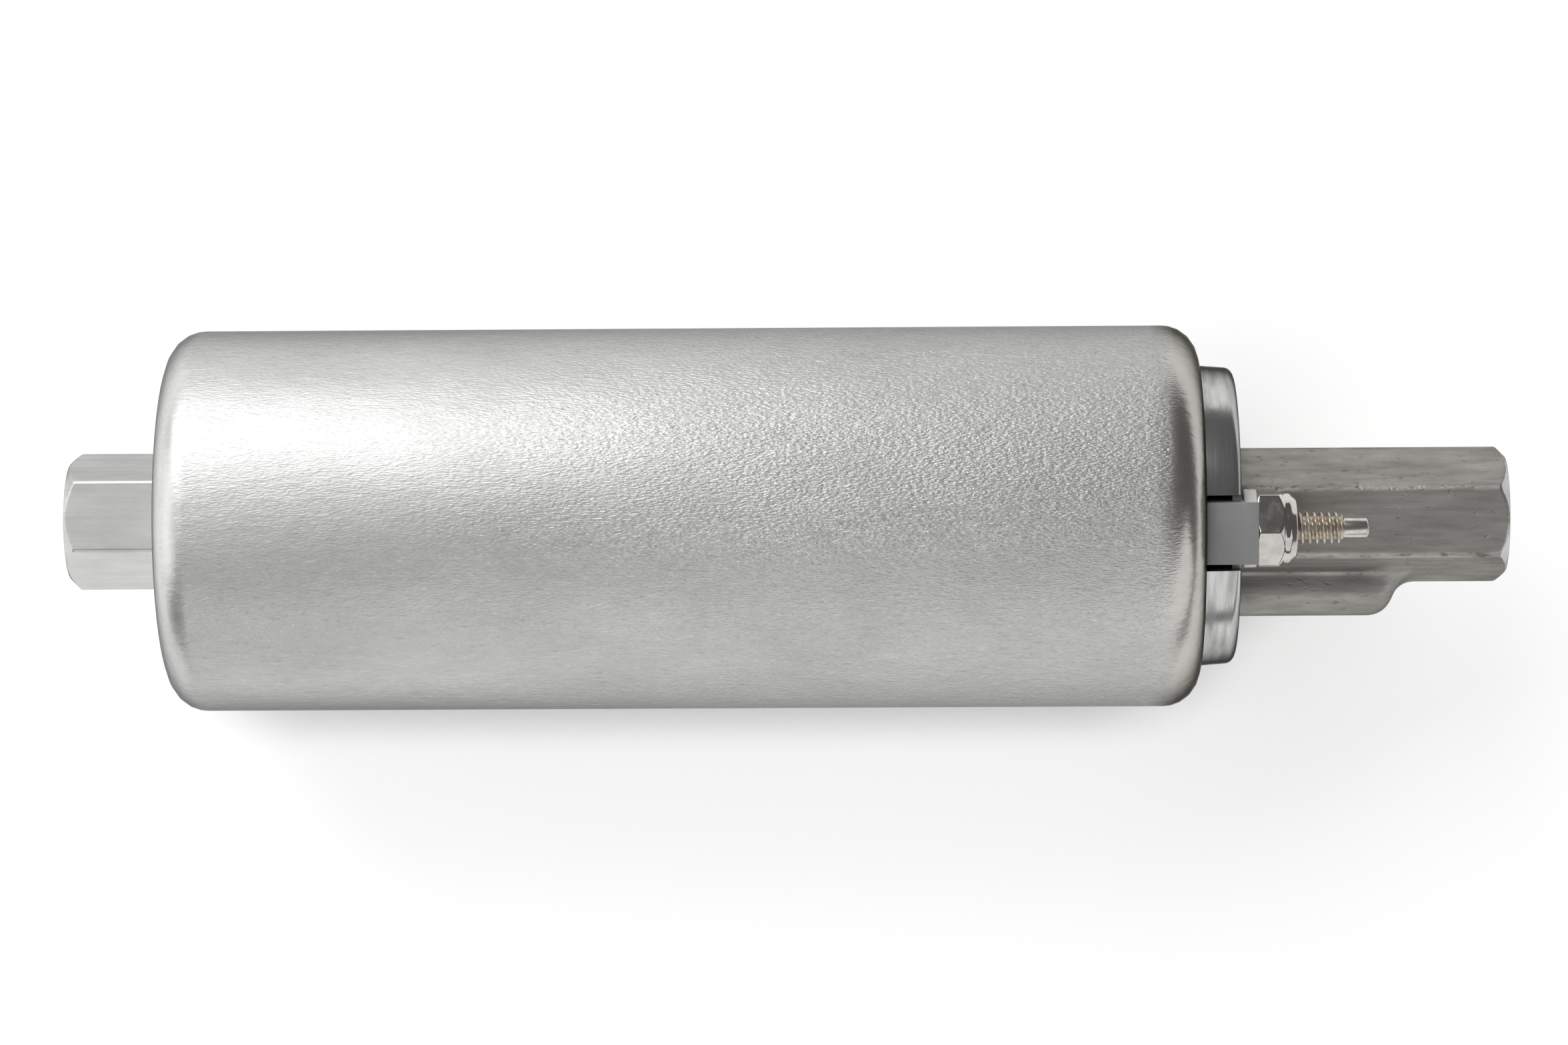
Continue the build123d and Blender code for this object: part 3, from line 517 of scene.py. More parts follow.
sintered_bronze = sintered("sintered_bronze", (0.62, 0.41, 0.20), (0.20, 0.12, 0.05), 0.36)
washer_plastic = moulded("washer_plastic", (0.30, 0.22, 0.13), (0.19, 0.13, 0.07), 0.62, 1600, 0.00004)
coupling_plastic = moulded("coupling_plastic", (0.06, 0.06, 0.062), (0.035, 0.035, 0.036), 0.46, 1400,
                           0.00003)
dressed(sintered_bronze, "front_bush", "rear_bush")
dressed(washer_plastic, "front_thrust_washer", "rear_thrust_washer")
dressed(coupling_plastic, "drive_coupling")


# Armature
# A ground shaft carries a stack of 0.5 mm steel sheets with eight slots, red end insulators, varnished
# copper coils round the teeth, and a phenolic commutator with eight carbon segments on its face.


def bands(nodes, links, pitch, way, kind):
    """Even bands at a pitch in metres: sheets of a stack, turns of a coil or strands of a braid."""
    place = nodes.new("ShaderNodeTexCoord").outputs["Object"]
    wave = nodes.new("ShaderNodeTexWave")
    wave.wave_type = kind
    if kind == "RINGS":
        wave.rings_direction = way
    else:
        wave.bands_direction = way
    wave.inputs["Scale"].default_value = math.pi / 10 / pitch
    links.new(place, wave.inputs["Vector"])
    return wave.outputs["Fac"]


def banded(name, colour, gap_colour, roughness, pitch, way, kind, height):
    """Metal laid side by side, dark in the gaps between."""
    finish, nodes, links, shader = metal(name, colour, roughness)
    laid = bands(nodes, links, pitch, way, kind)
    cloud = spread(nodes, links, marks(nodes, links, 500), 0.3, 0.7, 0.0, 0.35)
    links.new(tinted(nodes, links, added(nodes, links, cloud, laid, 0.65), gap_colour, colour),
              shader.inputs["Base Color"])
    links.new(spread(nodes, links, laid, 0, 1, roughness + 0.2, roughness), shader.inputs["Roughness"])
    relief(nodes, links, shader, laid, height)
    return finish


def pressed_carbon(name, colour, fleck):
    """Dull pressed carbon, with flecks that shine and rings worn into it."""
    finish, nodes, links, shader = metal(name, colour, 0.5)
    shader.inputs["Metallic"].default_value = 0.35
    flecks = spread(nodes, links, marks(nodes, links, 3200, detail=2.0), 0.60, 0.70)
    worn = lathe_lines(nodes, links, 2500)
    links.new(tinted(nodes, links, added(nodes, links, flecks, worn, 0.2), colour, fleck),
              shader.inputs["Base Color"])
    links.new(spread(nodes, links, worn, 0.3, 0.7, 0.56, 0.40), shader.inputs["Roughness"])
    relief(nodes, links, shader, worn, 0.00001)
    return finish


ground_steel = lathe_turned("ground_steel", (0.68, 0.68, 0.69), (0.54, 0.54, 0.55), 0.17, 7000)
lamination_steel = banded("lamination_steel", (0.36, 0.36, 0.37), (0.10, 0.10, 0.11), 0.40, 0.0005, "X",
                          "BANDS", 0.00006)
enamelled_copper = banded("enamelled_copper", (0.70, 0.30, 0.10), (0.16, 0.05, 0.015), 0.26, 0.00055, "X",
                          "RINGS", 0.00016)
varnish = enamelled_copper.node_tree.nodes["Principled BSDF"]
varnish.inputs["Coat Weight"].default_value = 0.5
varnish.inputs["Coat Roughness"].default_value = 0.12
insulator_plastic = moulded("insulator_plastic", (0.55, 0.12, 0.05), (0.42, 0.085, 0.035), 0.42)
commutator_resin = moulded("commutator_resin", (0.10, 0.052, 0.03), (0.055, 0.028, 0.017), 0.38, 1300)
segment_carbon = pressed_carbon("segment_carbon", (0.075, 0.075, 0.078), (0.20, 0.20, 0.21))
dressed(ground_steel, "armature_shaft")
dressed(lamination_steel, "armature_core")
dressed(enamelled_copper, "armature_windings")
dressed(insulator_plastic, "front_end_insulator", "rear_end_insulator")
dressed(commutator_resin, "commutator_hub")
dressed(segment_carbon, "commutator_segments")


# Flux ring, magnets and clips
# A zinc plated steel tube fills the can between the port plate and the end bell. Two ferrite magnets lie
# against its bore, held apart by two sprung steel channels.
flux_steel = plating("flux_steel", (0.56, 0.55, 0.51), (0.42, 0.41, 0.37), 0.30)
ferrite = moulded("ferrite", (0.125, 0.125, 0.13), (0.075, 0.075, 0.08), 0.52, 2200, 0.00003)
dressed(flux_steel, "flux_ring")
dressed(ferrite, "magnets")
dressed(spring_steel, "magnet_clips")


# Outlet housing
# The end bell: one aluminium die casting with its skirt, flange and long hexagon, and a round-topped rib
# along the hexagon. The flange's rim is turned bright, the hexagon's skin is as cast and tumbled.
CASTING_CLOCK = 7.0
BOSS_CLOCK = CASTING_CLOCK + 90
OUTLET_SEAT = 56.44
SKIRT_START = 31.05
CAVITY_END = 52.05
CAVITY_RADIUS = 16.8
HUB_START = 42.05
HUB_RADIUS = 6.5
CAN_END = 57.95
FLANGE_FACE = 61.9
FLANGE_RADIUS = 16.95
FLANGE_ROUND = 1.0
OUTLET_END = 92.5
OUTLET_PORT_DEPTH = 11.0
BOSS_RADIUS = 3.3
BOSS_TOP = 11.45
BOSS_CORNER = 79.2
BOSS_RUN = 1.15
BOSS_SOFT = 2.0
SIDE_SOFT = 0.9
CORNER_SOFT = 0.55
CHAMFER_SOFT = 0.18
FLANGE_FILLET = 0.7
SLOT_FLOOR = 57.2
SLOT_WIDTH = 8.4
SLOT_INNER = 7.5
TERMINAL_CIRCLE = 11.9
SLEEVE_RADIUS = 3.25
TERMINAL_CLOCKS = (CASTING_CLOCK, CASTING_CLOCK + 180)
CHAMFER_REACH = 1.6
RIDGE_HALF_ANGLE = 2.6
RIDGE_RADIUS = 7.2
CLOSING_STEPS = 140
CLOSING_SHARE = 0.55


def overlap_of(first, second, blend):
    """What two forms share, with a soft edge."""
    return -merged(-first, -second, blend)


def casting_distance(x, radius, clocks):
    """Distance from the casting's skin beyond its flange: hexagon, rib and the fillets between them."""
    about = np.radians(clocks - BOSS_CLOCK)
    up, side = radius * np.cos(about), radius * np.sin(about)
    away = np.abs((clocks - CASTING_CLOCK + 30) % 60 - 30)
    flat = radius * np.cos(np.radians(away)) - HEX_FLATS / 2
    next_flat = radius * np.cos(np.radians(60 - away)) - HEX_FLATS / 2
    hexagon = overlap_of(flat, next_flat, CORNER_SOFT)
    cone = (radius + x - OUTLET_END - HEX_FLATS / math.sqrt(3) + HEX_CHAMFER) / math.sqrt(2)
    hexagon = overlap_of(hexagon, cone, CHAMFER_SOFT)
    crown = np.hypot(up - (BOSS_TOP - BOSS_RADIUS), side) - BOSS_RADIUS
    stem = np.maximum(np.abs(side) - BOSS_RADIUS * 0.8, np.maximum(up - (BOSS_TOP - BOSS_RADIUS), -up))
    lean = BOSS_RUN / (BOSS_TOP - HEX_FLATS / math.sqrt(3))
    end = (x - BOSS_CORNER - lean * (BOSS_TOP - up)) / math.hypot(1, lean)
    rib = overlap_of(np.minimum(crown, stem), end, BOSS_SOFT * 1.1)
    softness = SIDE_SOFT + (BOSS_SOFT - SIDE_SOFT) * np.clip((x - BOSS_CORNER + 3) / 3, 0, 1)
    body = merged(hexagon, rib, softness)
    return merged(body, x - FLANGE_FACE, FLANGE_FILLET)


def cast_hexagon(name):
    """Skin of the hexagon and its rib, found by closing in on it from outside along each clock angle."""
    round_rib = np.arange(BOSS_CLOCK - 34, BOSS_CLOCK + 34, 0.8)
    clocks = np.unique(np.concatenate([np.arange(0, 360, 2.5), round_rib] + [
        np.arange(-5, 5.01, 0.5) + CASTING_CLOCK + 30 + 60 * corner for corner in range(6)]) % 360)
    fillet_rows = np.array([0.004, 0.02, 0.05, 0.09, 0.14, 0.2, 0.28, 0.38, 0.5, 0.65])
    xs = np.concatenate([FLANGE_FACE + fillet_rows,
                         np.linspace(FLANGE_FACE + 1, BOSS_CORNER - 4, 14),
                         np.linspace(BOSS_CORNER - 3.8, BOSS_CORNER + 4.5, 60),
                         np.linspace(BOSS_CORNER + 5, OUTLET_END - 2.1, 7),
                         np.linspace(OUTLET_END - 2, OUTLET_END - 0.06, 30)])
    radius = np.full((len(xs), len(clocks)), BOSS_TOP + 6.0)
    for _ in range(CLOSING_STEPS):
        gap = casting_distance(xs[:, None], radius, clocks[None, :])
        radius = np.maximum(radius - CLOSING_SHARE * gap, 1.0)
    radius = np.minimum(radius, FLANGE_RADIUS - 1.5)
    xs = np.concatenate([[FLANGE_FACE - 1], xs, [OUTLET_END]])
    radius = np.concatenate([radius[:1], radius, radius[-1:] - 0.08])
    return swept_skin(name, xs, radius, clocks)


def bar_across(name, clock, start, end, width, inner, outer):
    """Square bar at a clock angle, from an inner to an outer distance from the axis."""
    corners = [(x * MILLIMETRE, side * MILLIMETRE, reach * MILLIMETRE) for x in (start, end)
               for side in (-width / 2, width / 2) for reach in (inner, outer)]
    bar = solid(name, corners, [(0, 1, 3, 2), (4, 6, 7, 5), (0, 4, 5, 1), (2, 3, 7, 6), (0, 2, 6, 4),
                                (1, 5, 7, 3)])
    bar.data.transform(Matrix.Rotation(math.radians(clock), 4, "X"))
    return facing_outward(bar)


def cast_skin(name, pits, scuffs, height):
    """As-cast aluminium: warm grey and mottled, with a share of pits and one of scuffs along it."""
    finish, nodes, links, shader = metal(name, (0.40, 0.385, 0.36), 0.52, (0.08, 0.08, 0.08, 1))
    shader.distribution = "GGX"
    cloud = marks(nodes, links, 330, (0.4, 1, 1), 4.0, 0.65)
    pit = spread(nodes, links, marks(nodes, links, 1900, (0.45, 1, 1), 2.0), 0.28, 0.28 + 0.27 * pits)
    scuff = spread(nodes, links, marks(nodes, links, 1400, (0.12, 1, 1), 3.0), 0.35, 0.7)
    tone = added(nodes, links, spread(nodes, links, cloud, 0.3, 0.7, 0.40 - pits, 0.72 - pits), pit, pits)
    tone = added(nodes, links, tone, scuff, scuffs)
    links.new(tinted(nodes, links, tone, (0.175, 0.165, 0.146), (0.50, 0.485, 0.455)),
              shader.inputs["Base Color"])
    links.new(spread(nodes, links, cloud, 0.3, 0.7, 0.58, 0.46), shader.inputs["Roughness"])
    skin = added(nodes, links, marks(nodes, links, 900, (0.35, 1, 1), 4.0), pit, 0.35)
    relief(nodes, links, shader, skin, height)
    return finish


def turned_rim():
    """The flange's rim: turned, nearly a mirror, with stains that run round it."""
    finish, nodes, links, shader = metal("turned_flange_rim", (0.50, 0.50, 0.495), 0.16,
                                         (0.05, 0.05, 0.05, 1))
    smear = marks(nodes, links, 420, (2.6, 0.35, 0.35), 4.0)
    links.new(tinted(nodes, links, spread(nodes, links, smear, 0.35, 0.62), (0.38, 0.38, 0.376),
                     (0.58, 0.58, 0.572)), shader.inputs["Base Color"])
    links.new(spread(nodes, links, smear, 0.3, 0.7, 0.30, 0.17), shader.inputs["Roughness"])
    relief(nodes, links, shader, marks(nodes, links, 2400, (1, 0.03, 0.03), 2.0), 0.00001)
    return finish


bell = turned("bell", [
    (SKIRT_START, 0, 0), (SKIRT_START, BODY_RADIUS, 0.15),
    (GROOVE_START, BODY_RADIUS, 0.1), (GROOVE_START, GROOVE_FLOOR, 0.15),
    (GROOVE_END, GROOVE_FLOOR, 0.15), (GROOVE_END, BODY_RADIUS, 0.1),
    (OUTLET_SEAT, BODY_RADIUS, BODY_ROUND), (OUTLET_SEAT, FLANGE_RADIUS, 0.15),
    (CAN_END, FLANGE_RADIUS, 0), (FLANGE_FACE, FLANGE_RADIUS - 0.3, FLANGE_ROUND), (FLANGE_FACE, 0, 0)])
machined(bell, "DIFFERENCE", *[
    bar_across(f"slot_{index}", clock, SLOT_FLOOR, FLANGE_FACE + CUT_PAST, SLOT_WIDTH, SLOT_INNER,
               FLANGE_RADIUS + CUT_PAST) for index, clock in enumerate(TERMINAL_CLOCKS)])
machined(bell, "UNION", cast_hexagon("cast_hexagon"))
machined(bell, "DIFFERENCE",
         turned("bell_cavity", [
             (HUB_START - 0.01, HUB_RADIUS, 0), (HUB_START - 0.01, CAVITY_RADIUS, 0),
             (CAVITY_END, CAVITY_RADIUS, 0.4), (CAVITY_END, HUB_RADIUS, 0)], looped=True),
         drill("bell_bore", CAVITY_RADIUS, SKIRT_START - CUT_PAST, HUB_START),
         drill("rear_bush_bore", BUSH_BORE, HUB_START - CUT_PAST, 60.27),
         drill("throat", 2.4, 59, 65),
         drill("valve_bore", 4.2, 64.27, 82),
         tap("outlet_tap", OUTLET_END, -OUTLET_PORT_DEPTH),
         *[drill(f"sleeve_hole_{index}", SLEEVE_RADIUS, CAVITY_END - CUT_PAST, SLOT_FLOOR + CUT_PAST,
                 TERMINAL_CIRCLE, clock) for index, clock in enumerate(TERMINAL_CLOCKS)])
smooth(bell)
for finish in (cast_skin("cast_aluminium", 0.30, 0.30, 0.00008), turned_rim(), machined_aluminium,
               cast_skin("worn_ridge", 0.60, 0.70, 0.00016)):
    bell.data.materials.append(finish)
CAST, RIM, CHAMFER, RIDGE = range(4)
for face in bell.data.polygons:
    middle = face.center / MILLIMETRE
    reach = math.hypot(middle.y, middle.z)
    from_corner = abs((math.degrees(math.atan2(-middle.y, middle.z)) - CASTING_CLOCK) % 60 - 30)
    if middle.x > CAN_END - 1 and reach > FLANGE_RADIUS - FLANGE_ROUND:
        face.material_index = RIM
    elif middle.x > OUTLET_END - CHAMFER_REACH and 0.4 < face.normal.x < 0.95:
        face.material_index = CHAMFER
    elif middle.x > FLANGE_FACE + 0.4 and abs(face.normal.x) < 0.3:
        face.material_index = RIDGE if from_corner < RIDGE_HALF_ANGLE and reach > RIDGE_RADIUS else CAST
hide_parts("outlet_housing")
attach(bell, "housing")


# Check valve
# In the outlet: a pressed brass seat, an acetal poppet on it, its return spring, and a spoked brass ring
# that guides the poppet's stem. It holds pressure in the fuel line when the pump stops.
valve_plastic = moulded("valve_plastic", (0.80, 0.78, 0.70), (0.72, 0.70, 0.61), 0.36)
dressed(turned_brass, "check_valve_seat", "check_valve_retainer")
dressed(valve_plastic, "check_valve_poppet")
yielding("check_valve_coil", "check_valve_spring", spring_steel)


# Brush gear
# A moulded carrier against the bell's end wall guides two carbon brushes onto the commutator. A coil
# spring pushes each, and a stranded copper lead ties it to the head of its terminal stud.
carrier_plastic = moulded("carrier_plastic", (0.60, 0.55, 0.42), (0.50, 0.45, 0.33), 0.46)
brush_carbon = pressed_carbon("brush_carbon", (0.055, 0.053, 0.052), (0.42, 0.24, 0.14))
copper_braid = banded("copper_braid", (0.74, 0.38, 0.19), (0.24, 0.10, 0.04), 0.32, 0.00022, "DIAGONAL",
                      "BANDS", 0.00008)
dressed(carrier_plastic, "brush_carrier")
dressed(brush_carbon, "positive_brush", "negative_brush")
for side in ("positive", "negative"):
    yielding(f"{side}_brush_coil", f"{side}_brush_spring", spring_steel)
    yielding(f"{side}_braid", f"{side}_brush_lead", copper_braid)


# Seals
# Black fuel-proof rubber: an O-ring in the groove of each end body, and a small ring round each stud that
# the terminal block's sleeve presses against the bell's end wall.
seal_rubber = moulded("seal_rubber", (0.030, 0.030, 0.031), (0.017, 0.017, 0.018), 0.50, 1500)
dressed(seal_rubber, "inlet_o_ring", "outlet_o_ring", "terminal_seals")


# Can
# A drawn aluminium tube, etched satin, that holds the stack together: both its ends are rolled down over
# the end bodies, which leaves burnished bands there, bright at the inlet and stained at the outlet.
CAN_RADIUS = 21.5
CAN_WALL = 1.5
CAN_CORNER = 4.0
LEFT_LIP = 14.5
RIGHT_LIP = 17.6


def etched_skin():
    """Satin aluminium, grained along the can. Its rolled ends are burnished, the rear one stained."""
    finish, nodes, links, shader = metal("satin_aluminium", (0.63, 0.63, 0.62), 0.44,
                                         (0.03, 0.03, 0.03, 1))
    shader.distribution = "GGX"
    dash = marks(nodes, links, 3200, (0.24, 1, 1), 3.0, 0.7)
    drift = marks(nodes, links, 1100, (0.3, 1, 1), 2.0)
    cloud = marks(nodes, links, 110, (0.6, 1, 1), 4.0, 0.6)
    bright = spread(nodes, links, dash, 0.58, 0.70)
    dark = spread(nodes, links, dash, 0.42, 0.30)
    tone = added(nodes, links, spread(nodes, links, cloud, 0.3, 0.7, 0.40, 0.57), bright, 0.28)
    tone = added(nodes, links, tone, dark, -0.28)
    tone = added(nodes, links, tone, spread(nodes, links, drift, 0.3, 0.7), 0.08)
    along = nodes.new("ShaderNodeSeparateXYZ")
    links.new(nodes.new("ShaderNodeTexCoord").outputs["Object"], along.inputs["Vector"])
    ragged = added(nodes, links, along.outputs["X"], drift, MILLIMETRE)
    turn = (CAN_END - CAN_CORNER) * MILLIMETRE
    front = spread(nodes, links, ragged, 0.2 * MILLIMETRE - turn, -0.7 * MILLIMETRE - turn)
    rear = spread(nodes, links, ragged, turn - 1.2 * MILLIMETRE, turn + 1.8 * MILLIMETRE)
    tone = added(nodes, links, tone, front, 0.15)
    etched = tinted(nodes, links, tone, (0.455, 0.455, 0.447), (0.84, 0.84, 0.828))
    stain = tinted(nodes, links, added(nodes, links, cloud, dash, 0.3), (0.35, 0.335, 0.305),
                   (0.64, 0.625, 0.59))
    laid = nodes.new("ShaderNodeMix")
    laid.data_type = "RGBA"
    links.new(rear, laid.inputs["Factor"])
    links.new(etched, laid.inputs["A"])
    links.new(stain, laid.inputs["B"])
    links.new(laid.outputs["Result"], shader.inputs["Base Color"])
    polish = added(nodes, links, spread(nodes, links, cloud, 0.3, 0.7, 0.445, 0.405), front, -0.06)
    links.new(added(nodes, links, polish, rear, -0.16), shader.inputs["Roughness"])
    grade = spread(nodes, links, along.outputs["X"], -0.03, 0.01, 0.40, 1.0)
    grade = added(nodes, links, added(nodes, links, grade, rear, -0.95), front, -0.35)
    facets = combined(nodes, links, "MULTIPLY", marks(nodes, links, 6200, (0.28, 1, 1), 1.5), grade)
    relief(nodes, links, shader, added(nodes, links, facets, drift, 0.3), 0.00014)
    return finish


can = turned("rolled_can", [
    (-CAN_END, LEFT_LIP, 0.3), (-CAN_END, CAN_RADIUS, CAN_CORNER), (CAN_END, CAN_RADIUS, CAN_CORNER),
    (CAN_END, RIGHT_LIP, 0.25), (CAN_END - CAN_WALL, RIGHT_LIP, 0.1),
    (CAN_END - CAN_WALL, CAN_RADIUS - CAN_WALL, 2.5), (CAN_WALL - CAN_END, CAN_RADIUS - CAN_WALL, 2.5),
    (CAN_WALL - CAN_END, LEFT_LIP, 0.1)], looped=True, clocks=np.linspace(0, 360, 288, endpoint=False))
smooth(can)
can.data.materials.append(etched_skin())
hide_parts("can")
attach(can, "housing")


# Terminal blocks
# Grey moulded insulators, one in each slot of the flange, with a sleeve through the bell's end wall and a
# lip outside the washer. Each has a stud through it.
BLOCK_WIDTH = 6.9
BLOCK_INNER = 7.7
BLOCK_FACE = 16.75
BLOCK_END = 62.2
BLOCK_LIP = 0.45
WASHER_END = 63.71
SLEEVE_END = 53.2
STUD_HOLE = 1.85


def moulded_bar(name, clock, start, end, inner, outer, easing):
    """Part of a terminal block, with its edges eased."""
    bar = bar_across(name, clock, start, end, BLOCK_WIDTH, inner, outer)
    ease = bar.modifiers.new("eased edges", "BEVEL")
    ease.width = easing * MILLIMETRE
    ease.segments = 3
    return machined(bar, "UNION")


grey_insulator = moulded("grey_insulator", (0.31, 0.31, 0.314), (0.27, 0.27, 0.274), 0.42)
blocks = []
for index, clock in enumerate(TERMINAL_CLOCKS):
    block = moulded_bar(f"terminal_block_{index + 1}", clock, SLOT_FLOOR + 0.01, BLOCK_END, BLOCK_INNER,
                        BLOCK_FACE, 0.2)
    lip = moulded_bar("lip", clock, BLOCK_END - BLOCK_LIP, WASHER_END, BLOCK_FACE - BLOCK_LIP,
                      BLOCK_FACE, 0.1)
    sleeve = drill("sleeve", SLEEVE_RADIUS - 0.05, SLEEVE_END, SLOT_FLOOR + BLOCK_LIP, TERMINAL_CIRCLE,
                   clock)
    machined(block, "UNION", lip, sleeve)
    machined(block, "DIFFERENCE",
             drill("stud_hole", STUD_HOLE, SLEEVE_END - CUT_PAST, BLOCK_END + CUT_PAST, TERMINAL_CIRCLE,
                   clock))
    smooth(block)
    block.data.materials.append(grey_insulator)
    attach(block, "housing")
    blocks.append(block)
for block in blocks:
    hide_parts("terminal_blocks")


# Washers, nuts and studs
# On each stud: a natural nylon washer, a domed 5/16 in nut, bright plated, and 5 mm of free No. 6-32
# thread with a dog point. Stud and thread are plated brass with hairline wear; the dog point has a
# plating of its own.
WASHER_START = 62.21
WASHER_RADIUS = 4.33
NUT_START = 63.72
NUT_END = 68.12
NUT_FLATS = 7.94
NUT_HEX = 2.3
NUT_SHOULDER = 3.9
NUT_CROWN = 3.3
THREAD_END = 73.37
THREAD_RADIUS = 1.75
THREAD_ROOT = 1.27
THREAD_PITCH = 0.794
DOG_RADIUS = 1.1
DOG_END = 76.17
HEAD_START = 48.45
HEAD_RADIUS = 3.2
STUD_CORE = 1.5
NUT_BORE = 1.51
CARRIER_START = 50.05


def nylon():
    """Natural nylon, milky, so that light goes a little way in."""
    finish = moulded("natural_nylon", (0.86, 0.85, 0.82), (0.78, 0.77, 0.73), 0.34)
    shader = finish.node_tree.nodes["Principled BSDF"]
    shader.inputs["Subsurface Weight"].default_value = 0.35
    shader.inputs["Subsurface Radius"].default_value = (1, 0.95, 0.9)
    shader.inputs["Subsurface Scale"].default_value = 0.0012
    return finish


def nut_skin(name, clock):
    """Domed nut: hexagon, rounded shoulder and low crown."""
    clocks = np.unique(np.concatenate([np.arange(0, 360, 3.0)] + [
        np.arange(-4, 4.01, 0.8) + clock + 90 + 30 + 60 * corner for corner in range(6)]) % 360)
    hexagon = hexagon_radius(clocks, NUT_FLATS, 0.12, clock + 90)
    corner = NUT_FLATS / math.sqrt(3)
    profile = np.array(eased([
        (NUT_START, 0, 0), (NUT_START, corner - 0.25, 0), (NUT_START + 0.15, corner, 0),
        (NUT_START + NUT_HEX, corner, 0),
        (NUT_START + NUT_HEX + corner - NUT_SHOULDER, NUT_SHOULDER, 0.3),
        (NUT_END - 0.8, NUT_SHOULDER, 0.35), (NUT_END, NUT_CROWN, 0.3), (NUT_END, 0, 0)]))
    xs = np.unique(np.concatenate([np.linspace(NUT_START, NUT_START + 0.3, 5),
                                   np.linspace(NUT_START + 0.4, NUT_START + NUT_HEX - 0.9, 3),
                                   np.linspace(NUT_START + NUT_HEX - 0.8, NUT_END - 0.02, 40)]))
    outer = profile[1:-1]
    cone = np.interp(xs, outer[:, 0], outer[:, 1])
    radii = merged(hexagon[None, :], cone[:, None], 0.1)
    crown = np.full((1, len(clocks)), NUT_CROWN - 0.12)
    return swept_skin(name, np.append(xs, NUT_END), np.concatenate([radii, crown]), clocks)


def stud_skin(name):
    """Terminal stud: head on the carrier, core under the nut, rolled thread and dog point."""
    steps = np.arange(NUT_END, THREAD_END - 0.15, THREAD_PITCH / 12)
    clocks = FULL_TURN[::3]
    phase = steps[:, None] / THREAD_PITCH - clocks[None, :] / 360
    ridge = np.clip((1 - np.abs(2 * (phase % 1) - 1)) * 1.35 - 0.14, 0, 1)
    ridge = ridge * ridge * (3 - 2 * ridge)
    fade = np.clip((THREAD_END - 0.1 - steps) / (0.5 * THREAD_PITCH), 0, 1)[:, None]
    thread = THREAD_ROOT + (THREAD_RADIUS - THREAD_ROOT) * ridge * (0.3 + 0.7 * fade)
    plain = [(HEAD_START, 0.02), (HEAD_START, HEAD_RADIUS - 0.15), (HEAD_START + 0.15, HEAD_RADIUS),
             (CARRIER_START - 0.16, HEAD_RADIUS), (CARRIER_START - 0.01, HEAD_RADIUS - 0.15),
             (CARRIER_START - 0.01, STUD_CORE), (NUT_END - 0.01, STUD_CORE)]
    point = [(THREAD_END - 0.1, THREAD_ROOT + 0.03), (THREAD_END, DOG_RADIUS + 0.05),
             (THREAD_END + 0.06, DOG_RADIUS), (DOG_END - 0.3, DOG_RADIUS),
             (DOG_END - 0.22, DOG_RADIUS - 0.04), (DOG_END - 0.03, DOG_RADIUS - 0.27),
             (DOG_END, DOG_RADIUS - 0.33), (DOG_END, 0.02)]
    xs = [x for x, _ in plain] + list(steps) + [x for x, _ in point]
    rows = [np.full(len(clocks), radius) for _, radius in plain] + list(thread)
    rows += [np.full(len(clocks), radius) for _, radius in point]
    return swept_skin(name, xs, np.array(rows), clocks)


natural_nylon = nylon()
nickel_plate = plating("nickel_plate", (0.60, 0.57, 0.54), (0.50, 0.475, 0.45), 0.09)
plated_brass = plating("plated_brass", (0.68, 0.625, 0.55), (0.47, 0.41, 0.335), 0.34)
bright_dog = plating("bright_dog_point", (0.66, 0.645, 0.61), (0.50, 0.485, 0.445), 0.26)
for clock, sign in zip(TERMINAL_CLOCKS, ("positive", "negative")):
    washer = turned(f"nylon_washer_{sign}", [
        (WASHER_START, STUD_HOLE, 0), (WASHER_START, WASHER_RADIUS, 0.2),
        (WASHER_END, WASHER_RADIUS, 0.2), (WASHER_END, STUD_HOLE, 0)], looped=True)
    nut = nut_skin(f"terminal_nut_{sign}", clock)
    machined(nut, "DIFFERENCE", drill("nut_bore", NUT_BORE, NUT_START - CUT_PAST, NUT_END + CUT_PAST))
    stud = stud_skin(f"terminal_stud_{sign}")
    for piece, finish, node, slot in ((washer, natural_nylon, "nylon_washers", "natural_nylon"),
                                      (nut, nickel_plate, "terminal_nuts", "nickel_plate"),
                                      (stud, plated_brass, f"{sign}_terminal_stud", "plated_brass")):
        moved_out(piece, TERMINAL_CIRCLE, clock)
        smooth(piece)
        piece.data.materials.append(finish)
        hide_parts(node)
        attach(piece, "housing")
    stud.data.materials.append(bright_dog)
    for face in stud.data.polygons:
        if face.center.x / MILLIMETRE > THREAD_END - 0.05:
            face.material_index = 1


# Camera, floor and light
# A long lens looks straight down on the pump, which lies on a white table. Four soft boxes light it: the
# brightest beyond the top of the view, a wide weak one beyond the bottom, one overhead, one at the inlet.
LENS = 117.7
DISTANCE = 0.580
AIM = Vector((0.01128, -0.00052, 0))
YAW = 0.0175
ROLL = 0.0056
FLOOR_HEIGHT = -CAN_RADIUS * MILLIMETRE
PAPER_GLOW = 0.49
# Reach of the floor's painted shadow.
PAINTED_SHADOW_REACH = 0.015


def stand_camera():
    """Camera over the pump, a little to its right and turned a hair against the pump's axis."""
    away = Vector((math.sin(YAW), 0, math.cos(YAW)))
    right = Matrix.Rotation(-ROLL, 3, away) @ Vector((math.cos(YAW), 0, -math.sin(YAW)))
    up = away.cross(right)
    camera = shown("camera", bpy.data.cameras.new("camera"))
    camera.data.lens = LENS
    camera.data.sensor_width = 36
    camera.data.clip_start = 0.01
    turn = Matrix((right, up, away)).transposed().to_4x4()
    camera.matrix_world = Matrix.Translation(AIM + away * DISTANCE) @ turn
    bpy.context.scene.camera = camera


